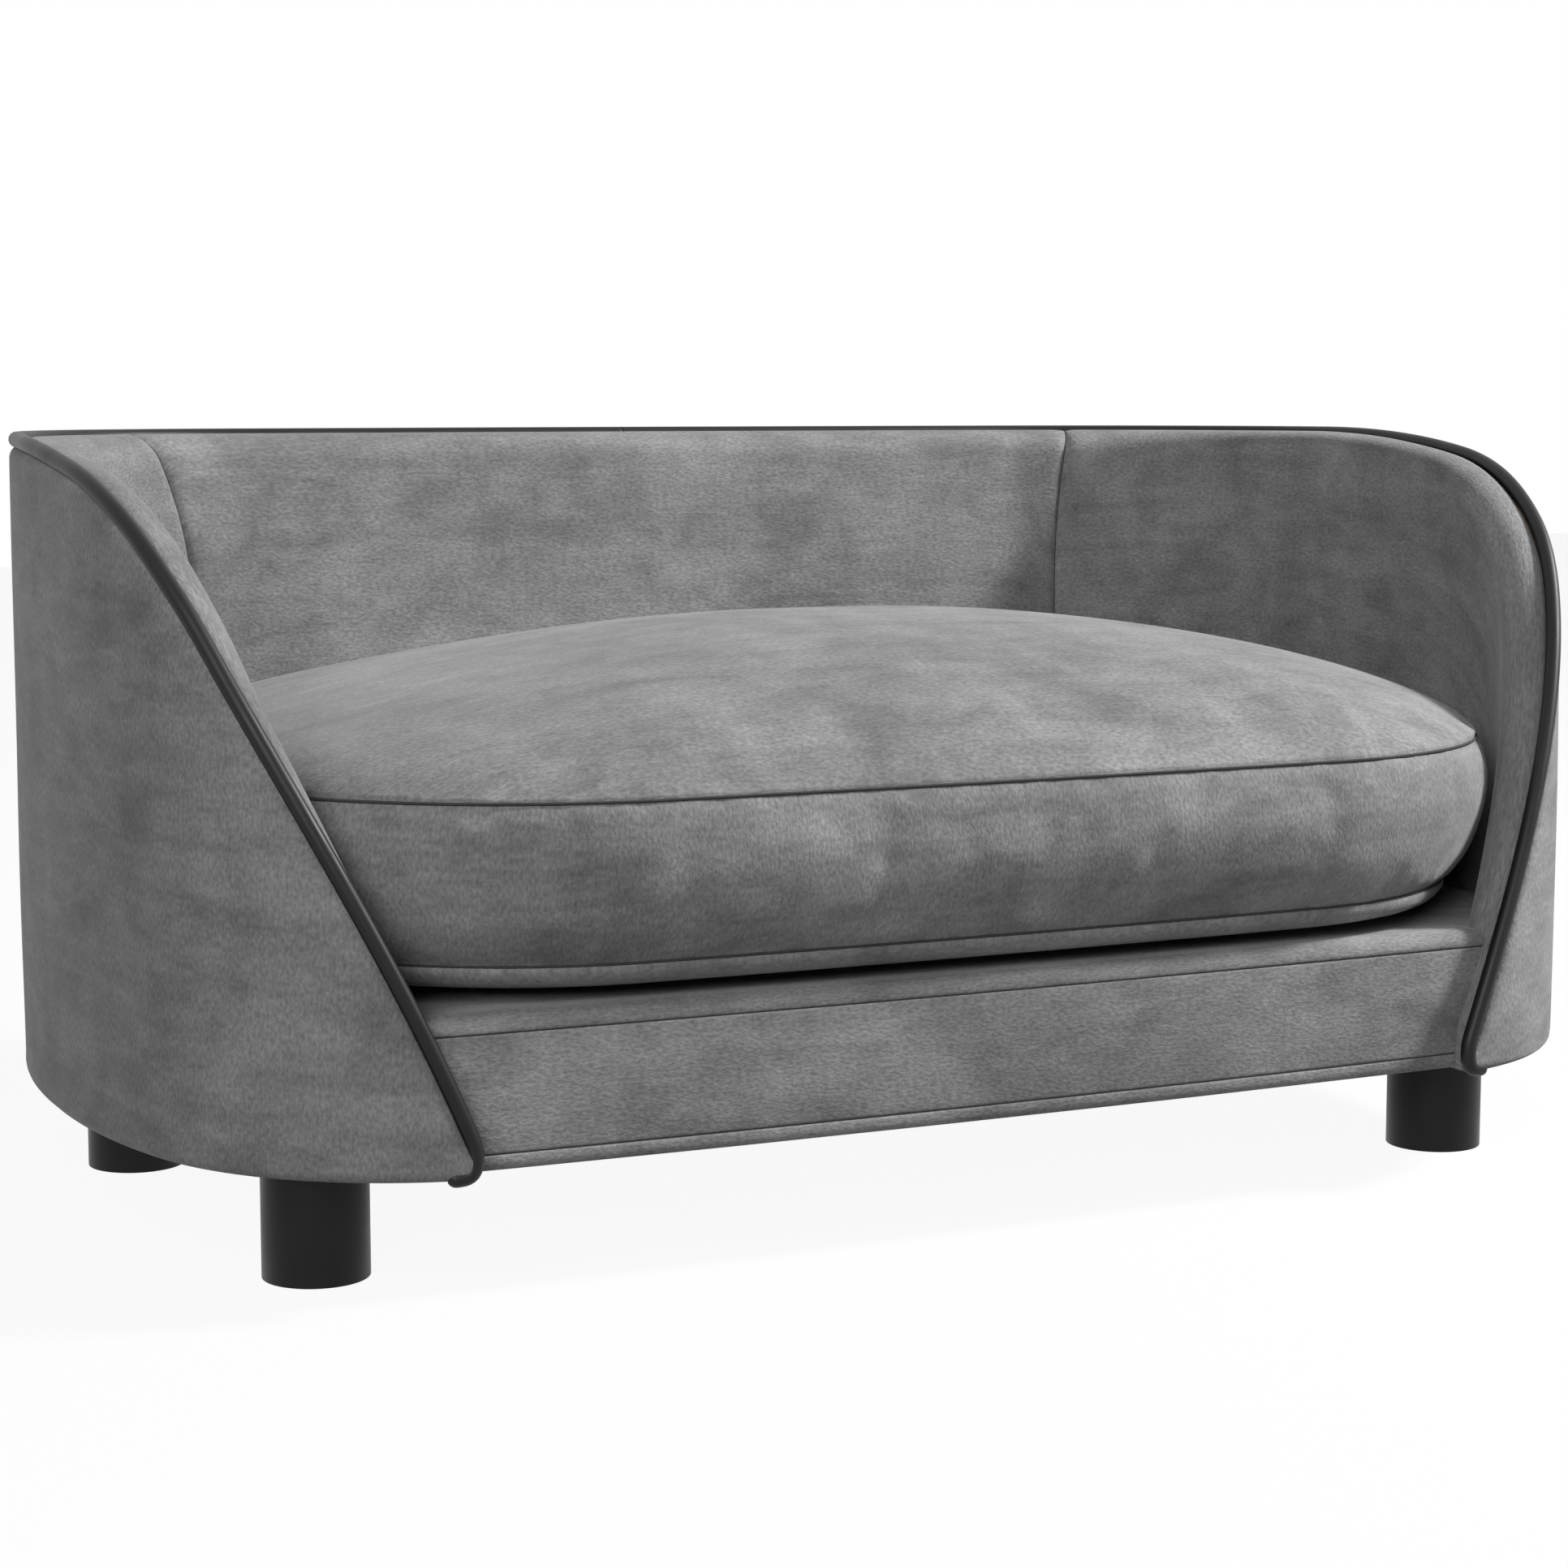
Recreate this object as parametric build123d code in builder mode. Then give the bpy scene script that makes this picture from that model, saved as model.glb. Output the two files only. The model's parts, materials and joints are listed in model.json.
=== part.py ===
from build123d import *
import math
import os

# Dog sofa bed. Millimetres, +Z up, the front faces -Y, the floor is Z = 0 and the middle of the
# whole piece is X = 0, Y = 0. One padded wall, back and arms in a single bend, stands round a low
# box on four legs. A thick loose cushion lies on the box.

os.makedirs("parts", exist_ok=True)

# Plan of the wall's outside, for one half, from the tip of an arm to the middle of the back
half_width = 380
side_straight = 16
front_side_radius = 400
front_side_turn = 15.4
front_corner_radius = 138
front_corner_turn = 66.2
rear_side_radius = 440
rear_side_turn = 12.4
rear_corner_radius = 160
back_radius = 2700
arm_end_run = 8

# Height of the piping's middle: level along the back, eased down, then the long rake of the arm
crest_height = 359
rake_run = 361
ease_radius = 749
ease_turn = 9.5
shoulder_radius = 186
rake_radius = 979
arm_end_height = 84.5

# Layers of the wall, from the outside in
cover_thickness = 1.5
board_thickness = 6
wall_thickness = 28
layer_gap = 0.3

# Piping on the wall's edge, and the roll of padding beside it
piping_radius = 3.75
piping_inset = 3.3
piping_tip_radius = 22
piping_bend_share = 0.45
crest_inset = 13
crest_rise = 1.7
roll_rise = 3
foam_roll_rise = 4
roll_drop = 14
roll_share = 0.6
board_drop = 7
lining_seam_angle = 70.5
lining_seam_gap = 0.3

# Low box under the cushion
shell_bottom = 55.5
base_thickness = 12
deck_thickness = 9
deck_top = 121
pad_thickness = 2.5
rail_set_back = 9.6
rail_bow_radius = 6600
rail_thickness = 18
rail_end_inset = 90
rail_low_seam = 63
rail_top_seam = 114.5
rail_edge_radius = 5
hem_width = 22
hem_edge_radius = 1.4
arm_foot_run = 75
batten_width = 30
batten_inset = 125
batten_count = 4
dust_cover_thickness = 0.6

# Legs and what fastens them
leg_radius = 23.6
leg_edge_chamfer = 1.8
leg_front_inset = 83
leg_rear_inset = 67
leg_front_reach = 127
leg_rear_reach = 115.5
leg_hole_gap = 0.6
bolt_radius = 4
bolt_depth = 24
bolt_stand = 4
bolt_gap = 0.1
nut_barrel_radius = 5.4
nut_barrel_share = 0.75
nut_flange_radius = 11
nut_flange_thickness = 1.6

# Cushion: a boxed cover with a crowned top, drawn in below its low seam
cushion_gap = 8
cushion_overhang = 19
cushion_front_radius = 5000
cushion_corner_radius = 175
cushion_lift = 0.4
cushion_low_seam = 140
cushion_belly = 188
cushion_top_seam = 211
cushion_crown = 64
low_seam_inset = 24
top_seam_inset = 2
base_inset = 52
cloth_thickness = 2
cloth_gap = 0.4
seam_gap = 0.4
dome_shares = (0.927, 0.819, 0.702, 0.592, 0.476, 0.362, 0.242, 0.132)
dome_power_share = 0.57
band_level_share = 0.48
band_inset_share = 0.28
base_level_share = 0.35
base_inset_share = 0.43

# Zip in the back of the cushion's band
zip_length = 300
zip_height = 18
zip_level = 172
zip_depth = 12
zip_tape_thickness = 1
zip_teeth_height = 4
zip_teeth_depth = 1.6
zip_gap = 0.4
slider_length = 12
slider_wall = 1.5
slider_gap = 0.3
slider_margin = 6

overrun = 10


def meeting_point(first, first_radius, second, second_radius):
    """Right-hand crossing of two circles."""
    span_x, span_y = second[0] - first[0], second[1] - first[1]
    span = math.hypot(span_x, span_y)
    reach = (first_radius**2 - second_radius**2 + span**2) / (2 * span)
    half = math.sqrt(first_radius**2 - reach**2)
    middle = (first[0] + span_x * reach / span, first[1] + span_y * reach / span)
    spots = [
        (middle[0] + way * span_y * half / span, middle[1] - way * span_x * half / span)
        for way in (1, -1)
    ]
    return max(spots)


def polar(centre, radius, angle):
    """Point on a circle, at an angle in degrees."""
    turn = math.radians(angle)
    return (centre[0] + radius * math.cos(turn), centre[1] + radius * math.sin(turn))


# Centres of the plan's arcs. The side line, where the wall is widest, sets out the rest.
tip_turn = front_side_turn + front_corner_turn
side_reach = side_straight / 2
tip_sine = math.sin(math.radians(tip_turn))
side_sine = math.sin(math.radians(front_side_turn))
tip_reach = side_reach + front_side_radius * side_sine + front_corner_radius * (tip_sine - side_sine)
rail_reach = tip_reach - rail_set_back
front_reach = rail_reach + cushion_overhang
rear_shift = rear_side_radius - rear_corner_radius
rear_corner_x = half_width - rear_side_radius + rear_shift * math.cos(math.radians(rear_side_turn))
rear_corner_reach = side_reach + rear_shift * math.sin(math.radians(rear_side_turn))
back_shift = back_radius - rear_corner_radius
back_turn = math.degrees(math.asin(rear_corner_x / back_shift))
rear_reach = rear_corner_reach + back_radius - back_shift * math.cos(math.radians(back_turn))
side_y = (front_reach - rear_reach) / 2

front_side_centre = (half_width - front_side_radius, side_y - side_reach)
front_corner_centre = polar(
    front_side_centre, front_side_radius - front_corner_radius, -front_side_turn
)
rear_side_centre = (half_width - rear_side_radius, side_y + side_reach)
rear_corner_centre = (rear_corner_x, side_y + rear_corner_reach)
back_centre = (0, side_y + rear_reach - back_radius)
rear_corner_turn = 90 - back_turn - rear_side_turn
rail_centre = (0, side_y - rail_reach + rail_bow_radius)

# The same plan as one run from the right tip to the left one. Each stretch has the centre of its
# arc, its radius, the angle that it starts at and its turn. A straight has no turn, a point on it
# half way in place of a centre, and its length in place of a radius.
right_stretches = (
    (front_corner_centre, front_corner_radius, -tip_turn, front_corner_turn),
    (front_side_centre, front_side_radius, -front_side_turn, front_side_turn),
    ((half_width, side_y), side_straight, 0, 0),
    (rear_side_centre, rear_side_radius, 0, rear_side_turn),
    (rear_corner_centre, rear_corner_radius, rear_side_turn, rear_corner_turn),
)
left_stretches = tuple(
    ((-centre[0], centre[1]), radius, 180 - first - turn, turn)
    for centre, radius, first, turn in reversed(right_stretches)
)
back_stretch = (back_centre, back_radius, 90 - back_turn, 2 * back_turn)
stretches = right_stretches + (back_stretch,) + left_stretches


def stretch_length(stretch):
    """Length of one stretch of the plan along the wall's outside."""
    _, radius, _, turn = stretch
    return math.radians(turn) * radius if turn else radius


full_run = sum(stretch_length(stretch) for stretch in stretches)
half_run = full_run / 2
corner_run = sum(stretch_length(stretch) for stretch in right_stretches[:-1])
seam_turn = math.radians(lining_seam_angle - rear_side_turn)
lining_seam_run = corner_run + seam_turn * rear_corner_radius


def wall_station(run):
    """Point on the wall's outside at a run from the right tip, and the angle that it faces."""
    rest = run
    for stretch in stretches:
        length = stretch_length(stretch)
        if rest <= length or stretch == stretches[-1]:
            break
        rest -= length
    centre, radius, first, turn = stretch
    if turn:
        angle = first + turn * rest / length
        return *polar(centre, radius, angle), angle
    along = (rest - length / 2) * (1 if first == 0 else -1)
    return centre[0], centre[1] + along, first


def turns_between(first_run, last_run):
    """Arcs of the plan between two runs: the run where each starts, its centre and its turn."""
    start = 0
    found = []
    for stretch in stretches:
        length = stretch_length(stretch)
        begin, end = max(first_run, start), min(last_run, start + length)
        if stretch[3] and end > begin:
            found.append((begin, stretch[0], stretch[3] * (end - begin) / length))
        start += length
    return found


# Centres of the rake's arcs in the wall unrolled: run and height
ease_sine = math.sin(math.radians(ease_turn))
ease_cosine = math.cos(math.radians(ease_turn))
ease_centre = (rake_run, crest_height - ease_radius)
shoulder_centre = (
    ease_centre[0] - (ease_radius - shoulder_radius) * ease_sine,
    ease_centre[1] + (ease_radius - shoulder_radius) * ease_cosine,
)
rake_centre = meeting_point(
    (arm_end_run, arm_end_height), rake_radius, shoulder_centre, rake_radius - shoulder_radius
)
shoulder_sine = (rake_centre[0] - shoulder_centre[0]) / (rake_radius - shoulder_radius)
ease_foot_run = ease_centre[0] - ease_radius * ease_sine
shoulder_foot_run = shoulder_centre[0] - shoulder_radius * shoulder_sine


def rake(run):
    """Height of the piping's middle at a run, and how much an upright slice stretches there."""
    near = min(run, full_run - run)
    if near >= rake_run:
        return crest_height, 1
    if near >= ease_foot_run:
        centre, radius = ease_centre, ease_radius
    elif near >= shoulder_foot_run:
        centre, radius = shoulder_centre, shoulder_radius
    else:
        centre, radius = rake_centre, rake_radius
    sine = (centre[0] - near) / radius
    cosine = math.sqrt(1 - sine * sine)
    return centre[1] + radius * cosine, 1 / cosine


def slice_plane(run):
    """Upright plane across the wall: its x is the way inwards, its y is up."""
    x, y, angle = wall_station(run)
    turn = math.radians(angle)
    inwards = (-math.cos(turn), -math.sin(turn), 0)
    return Plane(origin=(x, y, 0), x_dir=inwards, z_dir=(-math.sin(turn), math.cos(turn), 0))


slice_step = 20


def slice_runs(first, last):
    """Runs of a loft's slices between two places, evenly spaced."""
    count = round((last - first) / slice_step)
    return [first + (last - first) * step / count for step in range(count + 1)]


board_outside = cover_thickness + layer_gap
foam_outside = board_outside + board_thickness + layer_gap
lining_inside = wall_thickness - cover_thickness
foam_inside = lining_inside - layer_gap
lining_outside = piping_inset + piping_radius + layer_gap
base_bottom = shell_bottom + cover_thickness
base_top = base_bottom + base_thickness
pad_top = deck_top - cover_thickness - layer_gap
pad_bottom = pad_top - pad_thickness
deck_bottom = pad_bottom - layer_gap - deck_thickness
layer_bottom = base_bottom + layer_gap
foam_bottom = pad_bottom


def roll_lines(outside, inside, top, rise, drop):
    """Top of the padding in a slice: up from beside the piping, over the crest and down inside."""
    EllipticalCenterArc(
        (crest_inset, top - rise), crest_inset - outside, rise, 90, arc_size=90
    )
    EllipticalCenterArc((crest_inset, top - drop), inside - crest_inset, drop, 0, arc_size=90)


def cover_slice(run):
    """Velvet on the outside, turned under the base as a hem."""
    height, steep = rake(run)
    top = height - (piping_radius + layer_gap) * steep
    with BuildSketch(slice_plane(run)) as section:
        with BuildLine():
            Polyline(
                (hem_edge_radius, shell_bottom),
                (hem_width, shell_bottom),
                (hem_width, base_bottom),
                (cover_thickness, base_bottom),
                (cover_thickness, top),
                (0, top),
                (0, shell_bottom + hem_edge_radius),
            )
            RadiusArc(
                (0, shell_bottom + hem_edge_radius), (hem_edge_radius, shell_bottom), -hem_edge_radius
            )
        make_face()
    return section.sketch


def board_slice(run):
    """Bent plywood inside the outer cover."""
    height, steep = rake(run)
    with BuildSketch(slice_plane(run)) as section:
        with BuildLine():
            Polyline(
                (board_outside, layer_bottom),
                (board_outside + board_thickness, layer_bottom),
                (board_outside + board_thickness, height - board_drop * steep),
                (board_outside, height - board_drop * steep),
                close=True,
            )
        make_face()
    return section.sketch


def foam_slice(run, bottom):
    """Foam against the board, with its rounded top."""
    height, steep = rake(run)
    top = height + (crest_rise - cover_thickness - layer_gap) * steep
    drop = min(roll_drop * steep, (top - bottom) * roll_share)
    rise = min(foam_roll_rise * steep, drop)
    with BuildSketch(slice_plane(run)) as section:
        with BuildLine():
            roll_lines(foam_outside, foam_inside, top, rise, drop)
            Polyline(
                (foam_inside, top - drop),
                (foam_inside, bottom),
                (foam_outside, bottom),
                (foam_outside, top - rise),
            )
        make_face()
    return section.sketch


def lining_slice(run, bottom):
    """Velvet over the foam, from the piping over the roll and down the inside."""
    height, steep = rake(run)
    top = height + crest_rise * steep
    drop = min(roll_drop * steep, (top - bottom) * roll_share)
    rise = roll_rise * steep
    under = cover_thickness * steep
    with BuildSketch(slice_plane(run)) as section:
        with BuildLine():
            roll_lines(lining_outside, wall_thickness, top, rise, drop)
            Polyline(
                (wall_thickness, top - drop),
                (wall_thickness, bottom),
                (lining_inside, bottom),
                (lining_inside, top - drop),
            )
            roll_lines(
                lining_outside + cover_thickness, lining_inside, top - under, rise - under, drop - under
            )
            Line((lining_outside + cover_thickness, top - rise), (lining_outside, top - rise))
        make_face()
    return section.sketch


def cap_slice(run):
    """Velvet that closes the end of an arm."""
    height, steep = rake(run)
    top = height + crest_rise * steep
    drop = min(roll_drop * steep, (top - layer_bottom) * roll_share)
    rise = roll_rise * steep
    with BuildSketch(slice_plane(run)) as section:
        with BuildLine():
            roll_lines(lining_outside, wall_thickness, top, rise, drop)
            Polyline(
                (wall_thickness, top - drop),
                (wall_thickness, layer_bottom),
                (lining_outside, layer_bottom),
                (lining_outside, top - rise),
            )
        make_face()
    return section.sketch


def level_pieces(profile, first_run, last_run):
    """Solids of the wall's level stretch, each a slice turned about the centre of its arc."""
    return [
        revolve(profile(run), Axis((*centre, 0), (0, 0, 1)), turn, mode=Mode.PRIVATE)
        for run, centre, turn in turns_between(first_run, last_run)
    ]


# Outer velvet and the bent board of the wall
level_end = full_run - rake_run
arm_runs = slice_runs(arm_end_run, rake_run)
with BuildPart() as outer_cover:
    loft(sections=[cover_slice(run) for run in arm_runs])
    mirror(outer_cover.part, about=Plane.YZ)
    add(level_pieces(cover_slice, rake_run, level_end))

with BuildPart() as wall_board:
    loft(sections=[board_slice(run) for run in arm_runs])
    mirror(wall_board.part, about=Plane.YZ)
    add(level_pieces(board_slice, rake_run, level_end))

foot_run = arm_end_run - cover_thickness - layer_gap
foot_start = math.degrees(foot_run / front_corner_radius) - tip_turn


def wall_plan(inset):
    """Everything inside the wall's outside less an inset, and between the ends of the arms."""
    tip = polar(front_corner_centre, front_corner_radius - inset, foot_start)
    end = polar(front_corner_centre, front_corner_radius + overrun, foot_start)
    with BuildSketch() as region:
        with BuildLine():
            for side in (1, -1):
                for centre, radius, first, turn in right_stretches:
                    if turn:
                        start = max(first, foot_start)
                        angle = start if side > 0 else 180 - start
                        place = (side * centre[0], centre[1])
                        CenterArc(place, radius - inset, angle, arc_size=side * (first + turn - start))
                Line(
                    (side * (half_width - inset), side_y - side_reach),
                    (side * (half_width - inset), side_y + side_reach),
                )
            CenterArc(back_centre, back_radius - inset, 90 - back_turn, arc_size=2 * back_turn)
            Polyline(tip, end, (-end[0], end[1]), (-tip[0], tip[1]))
        make_face()
    return region.sketch


def front_cut(inset):
    """Everything in front of the rail's bow, set back by an inset."""
    radius = rail_bow_radius - inset
    ends = math.degrees(math.asin(half_width / radius))
    left = polar(rail_centre, radius, 270 - ends)
    right = polar(rail_centre, radius, 270 + ends)
    front = side_y - tip_reach - overrun
    with BuildSketch() as region:
        with BuildLine():
            CenterArc(rail_centre, radius, 270 - ends, arc_size=2 * ends)
            Polyline(right, (right[0], front), (left[0], front), left)
        make_face()
    return region.sketch


def arm_strip(first_run, last_run, inset):
    """Strip of the plan along the right arm between two runs, out past the wall."""
    first, last = (math.degrees(run / front_corner_radius) - tip_turn for run in (first_run, last_run))
    inner = front_corner_radius - inset
    outer = front_corner_radius + overrun
    with BuildSketch() as region:
        with BuildLine():
            CenterArc(front_corner_centre, outer, first, arc_size=last - first)
            CenterArc(front_corner_centre, inner, first, arc_size=last - first)
            for angle in (first, last):
                Line(polar(front_corner_centre, outer, angle), polar(front_corner_centre, inner, angle))
        make_face()
    return region.sketch


# Foam of the wall: a block in the foot of each arm, and one length that stands on the deck
foot_plan = arm_strip(foot_run, arm_foot_run + layer_gap, wall_thickness + layer_gap)
with BuildPart() as arm_foam:
    loft(sections=[foam_slice(run, layer_bottom) for run in arm_runs])

with BuildPart() as arm_foam_right:
    add(arm_foam.part)
    with BuildSketch():
        add(arm_strip(arm_end_run + layer_gap, arm_foot_run, wall_thickness + overrun))
    extrude(amount=crest_height, mode=Mode.INTERSECT)

with BuildPart() as arm_foam_left:
    mirror(arm_foam_right.part, about=Plane.YZ)

with BuildPart() as wall_foam:
    add(arm_foam.part)
    mirror(arm_foam.part, about=Plane.YZ)
    add(level_pieces(lambda run: foam_slice(run, layer_bottom), rake_run, level_end))
    with BuildSketch():
        add(foot_plan)
        add(foot_plan.mirror(Plane.YZ))
    extrude(amount=crest_height, mode=Mode.SUBTRACT)
    with BuildSketch():
        add(wall_plan(0))
    extrude(amount=foam_bottom, mode=Mode.SUBTRACT)

# Inner velvet: the back, and the arms, which reach down past the ends of the box and close the foam
arm_seam_run = lining_seam_run - lining_seam_gap / 2
back_seam_run = lining_seam_run + lining_seam_gap / 2
with BuildPart() as arm_lining_right:
    loft(sections=[lining_slice(run, layer_bottom) for run in arm_runs])
    add(level_pieces(lambda run: lining_slice(run, layer_bottom), rake_run, arm_seam_run))
    extrude(cap_slice(arm_end_run), -cover_thickness)
    with BuildSketch():
        add(wall_plan(0))
        add(foot_plan, mode=Mode.SUBTRACT)
    extrude(amount=foam_bottom, mode=Mode.SUBTRACT)

with BuildPart() as arm_lining_left:
    mirror(arm_lining_right.part, about=Plane.YZ)

with BuildPart() as back_lining:
    add(
        level_pieces(
            lambda run: lining_slice(run, foam_bottom), back_seam_run, full_run - back_seam_run
        )
    )

# Middle line of the piping: up the end of an arm, along the rake and round the back
piping_end_run = arm_end_run - layer_gap - piping_radius
piping_step = 40


def piping_point(run, height):
    """Point of the piping's middle line."""
    x, y, angle = wall_station(run)
    turn = math.radians(angle)
    return Vector(x - piping_inset * math.cos(turn), y - piping_inset * math.sin(turn), height)


fine_step = full_run / 4000
fine_runs = [piping_end_run]
while fine_runs[-1] < full_run - piping_end_run:
    fine_runs.append(min(fine_runs[-1] + fine_step, full_run - piping_end_run))
fine_points = [piping_point(run, rake(run)[0]) for run in fine_runs]
lengths = [0]
for before, after in zip(fine_points, fine_points[1:]):
    lengths.append(lengths[-1] + (after - before).length)
piping_count = round(lengths[-1] / piping_step)
piping_marks = []
for point, length in zip(fine_points, lengths):
    if length >= lengths[-1] * len(piping_marks) / piping_count - fine_step / 2:
        piping_marks.append(point)
corners = [piping_marks[0]]
for before, point, after in zip(piping_marks, piping_marks[1:], piping_marks[2:]):
    corners.append(point - (before + after - point * 2) / 8)
corners.append(piping_marks[-1])
foot_right = Vector(corners[0].X, corners[0].Y, shell_bottom)
foot_left = Vector(corners[-1].X, corners[-1].Y, shell_bottom)
route = [foot_right] + corners + [foot_left]
bends = []
for before, point, after in zip(route, route[1:], route[2:]):
    shorter = min((point - before).length, (after - point).length)
    turn = math.radians((point - before).get_angle(after - point))
    bends.append(piping_bend_share * shorter / math.tan(turn / 2))
bends[0] = bends[-1] = min(bends[0], piping_tip_radius)
with BuildPart() as wall_piping:
    with BuildLine():
        FilletPolyline(*route, radius=bends)
    with BuildSketch(Plane(origin=foot_right, z_dir=(0, 0, 1))):
        Circle(piping_radius)
    sweep()

def box_plan(inset, front_inset):
    """Plan of the low box: inside the wall, behind the rail's bow and clear of the arms' feet."""
    with BuildSketch() as region:
        add(wall_plan(inset))
        add(front_cut(front_inset), mode=Mode.SUBTRACT)
        add(foot_plan, mode=Mode.SUBTRACT)
        add(foot_plan.mirror(Plane.YZ), mode=Mode.SUBTRACT)
    return region.sketch


legs_at = [
    (side * (half_width - inset), side_y + reach)
    for side in (-1, 1)
    for inset, reach in ((leg_front_inset, -leg_front_reach), (leg_rear_inset, leg_rear_reach))
]
leg_names = ("leg_front_left", "leg_rear_left", "leg_front_right", "leg_rear_right")

# Box: the base board, the rail across the front, battens, the deck and its thin pad
rail_face_inset = cover_thickness + layer_gap
with BuildPart() as base_board:
    with BuildSketch(Plane.XY.offset(base_bottom)):
        add(box_plan(foam_outside, rail_face_inset))
        with Locations(*legs_at):
            Circle(nut_barrel_radius + bolt_gap, mode=Mode.SUBTRACT)
    extrude(amount=base_thickness)

with BuildPart() as front_rail:
    with BuildSketch(Plane.XY.offset(base_top)):
        add(box_plan(foam_outside, rail_face_inset))
        add(box_plan(foam_outside, rail_face_inset + rail_thickness), mode=Mode.SUBTRACT)
        Rectangle(2 * (half_width - rail_end_inset), 2 * half_width, mode=Mode.INTERSECT)
    extrude(amount=deck_bottom - base_top)

batten_front = side_y - rail_reach + rail_face_inset + rail_thickness + layer_gap
batten_row = half_width - batten_inset
batten_spacing = 2 * batten_row / (batten_count - 1)
batten_back_drop = back_radius - math.sqrt(back_radius**2 - (batten_row + batten_width / 2) ** 2)
batten_back = side_y + rear_reach - foam_outside - batten_back_drop
rail_bow_drop = rail_bow_radius - math.sqrt(rail_bow_radius**2 - (batten_row + batten_width / 2) ** 2)
batten_start = batten_front + rail_bow_drop
batten_end = batten_back - overrun * 2
with BuildPart() as deck_battens:
    with BuildSketch(Plane.XY.offset(base_top)):
        with Locations((0, (batten_start + batten_end) / 2)):
            with GridLocations(batten_spacing, 0, batten_count, 1):
                Rectangle(batten_width, batten_end - batten_start)
    extrude(amount=deck_bottom - base_top)

with BuildPart() as deck_board:
    with BuildSketch(Plane.XY.offset(deck_bottom)):
        add(box_plan(foam_outside, rail_face_inset))
    extrude(amount=deck_thickness)

with BuildPart() as deck_pad:
    with BuildSketch(Plane.XY.offset(pad_bottom)):
        add(box_plan(wall_thickness + layer_gap, rail_face_inset))
    extrude(amount=pad_thickness)

# Velvet on the box: the hem strip, the face and the top, which folds over the front edge
with BuildPart() as rail_hem_strip:
    with BuildSketch(Plane.XY.offset(shell_bottom)):
        add(box_plan(wall_thickness + layer_gap, 0))
    extrude(amount=rail_low_seam - seam_gap / 2 - shell_bottom)
    with BuildSketch(Plane.XY.offset(base_bottom)):
        add(box_plan(foam_outside, cover_thickness))
    extrude(amount=rail_low_seam - base_bottom, mode=Mode.SUBTRACT)
    with BuildSketch(Plane.XY.offset(shell_bottom)):
        add(box_plan(foam_outside, hem_width))
    extrude(amount=cover_thickness, mode=Mode.SUBTRACT)

with BuildPart() as rail_face_panel:
    with BuildSketch(Plane.XY.offset(rail_low_seam + seam_gap / 2)):
        add(box_plan(wall_thickness + layer_gap, 0))
        add(box_plan(foam_outside, cover_thickness), mode=Mode.SUBTRACT)
    extrude(amount=rail_top_seam - rail_low_seam - seam_gap)

top_panel_bottom = rail_top_seam + seam_gap / 2
with BuildPart() as rail_top_panel:
    with BuildSketch(Plane.XY.offset(top_panel_bottom)):
        add(box_plan(wall_thickness + layer_gap, 0))
    extrude(amount=deck_top - top_panel_bottom)
    top_edges = rail_top_panel.faces().sort_by(Axis.Z)[-1].edges()
    fillet(top_edges.filter_by(GeomType.CIRCLE).sort_by(SortBy.RADIUS)[-1], rail_edge_radius)
    with BuildSketch(Plane.XY.offset(top_panel_bottom)):
        add(box_plan(foam_outside, cover_thickness))
    extrude(amount=deck_top - cover_thickness - top_panel_bottom, mode=Mode.SUBTRACT)

# Black cloth under the base, inside the hems
with BuildPart() as dust_cover:
    with BuildSketch(Plane.XY.offset(base_bottom - layer_gap - dust_cover_thickness)):
        add(box_plan(hem_width + layer_gap, hem_width + layer_gap))
        with Locations(*legs_at):
            Circle(leg_radius + leg_hole_gap, mode=Mode.SUBTRACT)
    extrude(amount=dust_cover_thickness)

# Legs, each with a hanger bolt that turns into a tee nut in the base
bolt_bottom = base_bottom - bolt_depth
bolt_top = base_top + bolt_stand
with BuildPart() as leg:
    with BuildSketch():
        Circle(leg_radius)
    extrude(amount=base_bottom)
    chamfer(leg.edges().group_by(Axis.Z)[0], leg_edge_chamfer)
    with BuildSketch(Plane.XY.offset(bolt_bottom - bolt_gap)):
        Circle(bolt_radius + bolt_gap)
    extrude(amount=bolt_depth + bolt_gap, mode=Mode.SUBTRACT)

legs = {}
for leg_name, leg_at in zip(leg_names, legs_at):
    with BuildPart() as placed_leg:
        with Locations(leg_at):
            add(leg.part)
    legs[leg_name] = placed_leg

with BuildPart() as leg_bolts:
    with BuildSketch(Plane.XY.offset(bolt_bottom)):
        with Locations(*legs_at):
            Circle(bolt_radius)
    extrude(amount=bolt_top - bolt_bottom)

nut_barrel_height = base_thickness * nut_barrel_share
with BuildPart() as leg_tee_nuts:
    with BuildSketch(Plane.XY.offset(base_top - nut_barrel_height)):
        with Locations(*legs_at):
            Circle(nut_barrel_radius)
            Circle(bolt_radius + bolt_gap, mode=Mode.SUBTRACT)
    extrude(amount=nut_barrel_height)
    with BuildSketch(Plane.XY.offset(base_top)):
        with Locations(*legs_at):
            Circle(nut_flange_radius)
            Circle(bolt_radius + bolt_gap, mode=Mode.SUBTRACT)
    extrude(amount=nut_flange_thickness)

# Plan of the cushion: the wall's inside less a gap, with the front corners drawn in
cushion_inset = wall_thickness + cushion_gap
cushion_front_centre = (0, side_y - front_reach + cushion_front_radius)
cushion_side_radius = front_side_radius - cushion_inset


cushion_corner_centre = meeting_point(
    cushion_front_centre,
    cushion_front_radius - cushion_corner_radius,
    front_side_centre,
    cushion_side_radius - cushion_corner_radius,
)


def facing(centre, place):
    """Angle in degrees from a centre to a place."""
    return math.degrees(math.atan2(place[1] - centre[1], place[0] - centre[0]))


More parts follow.
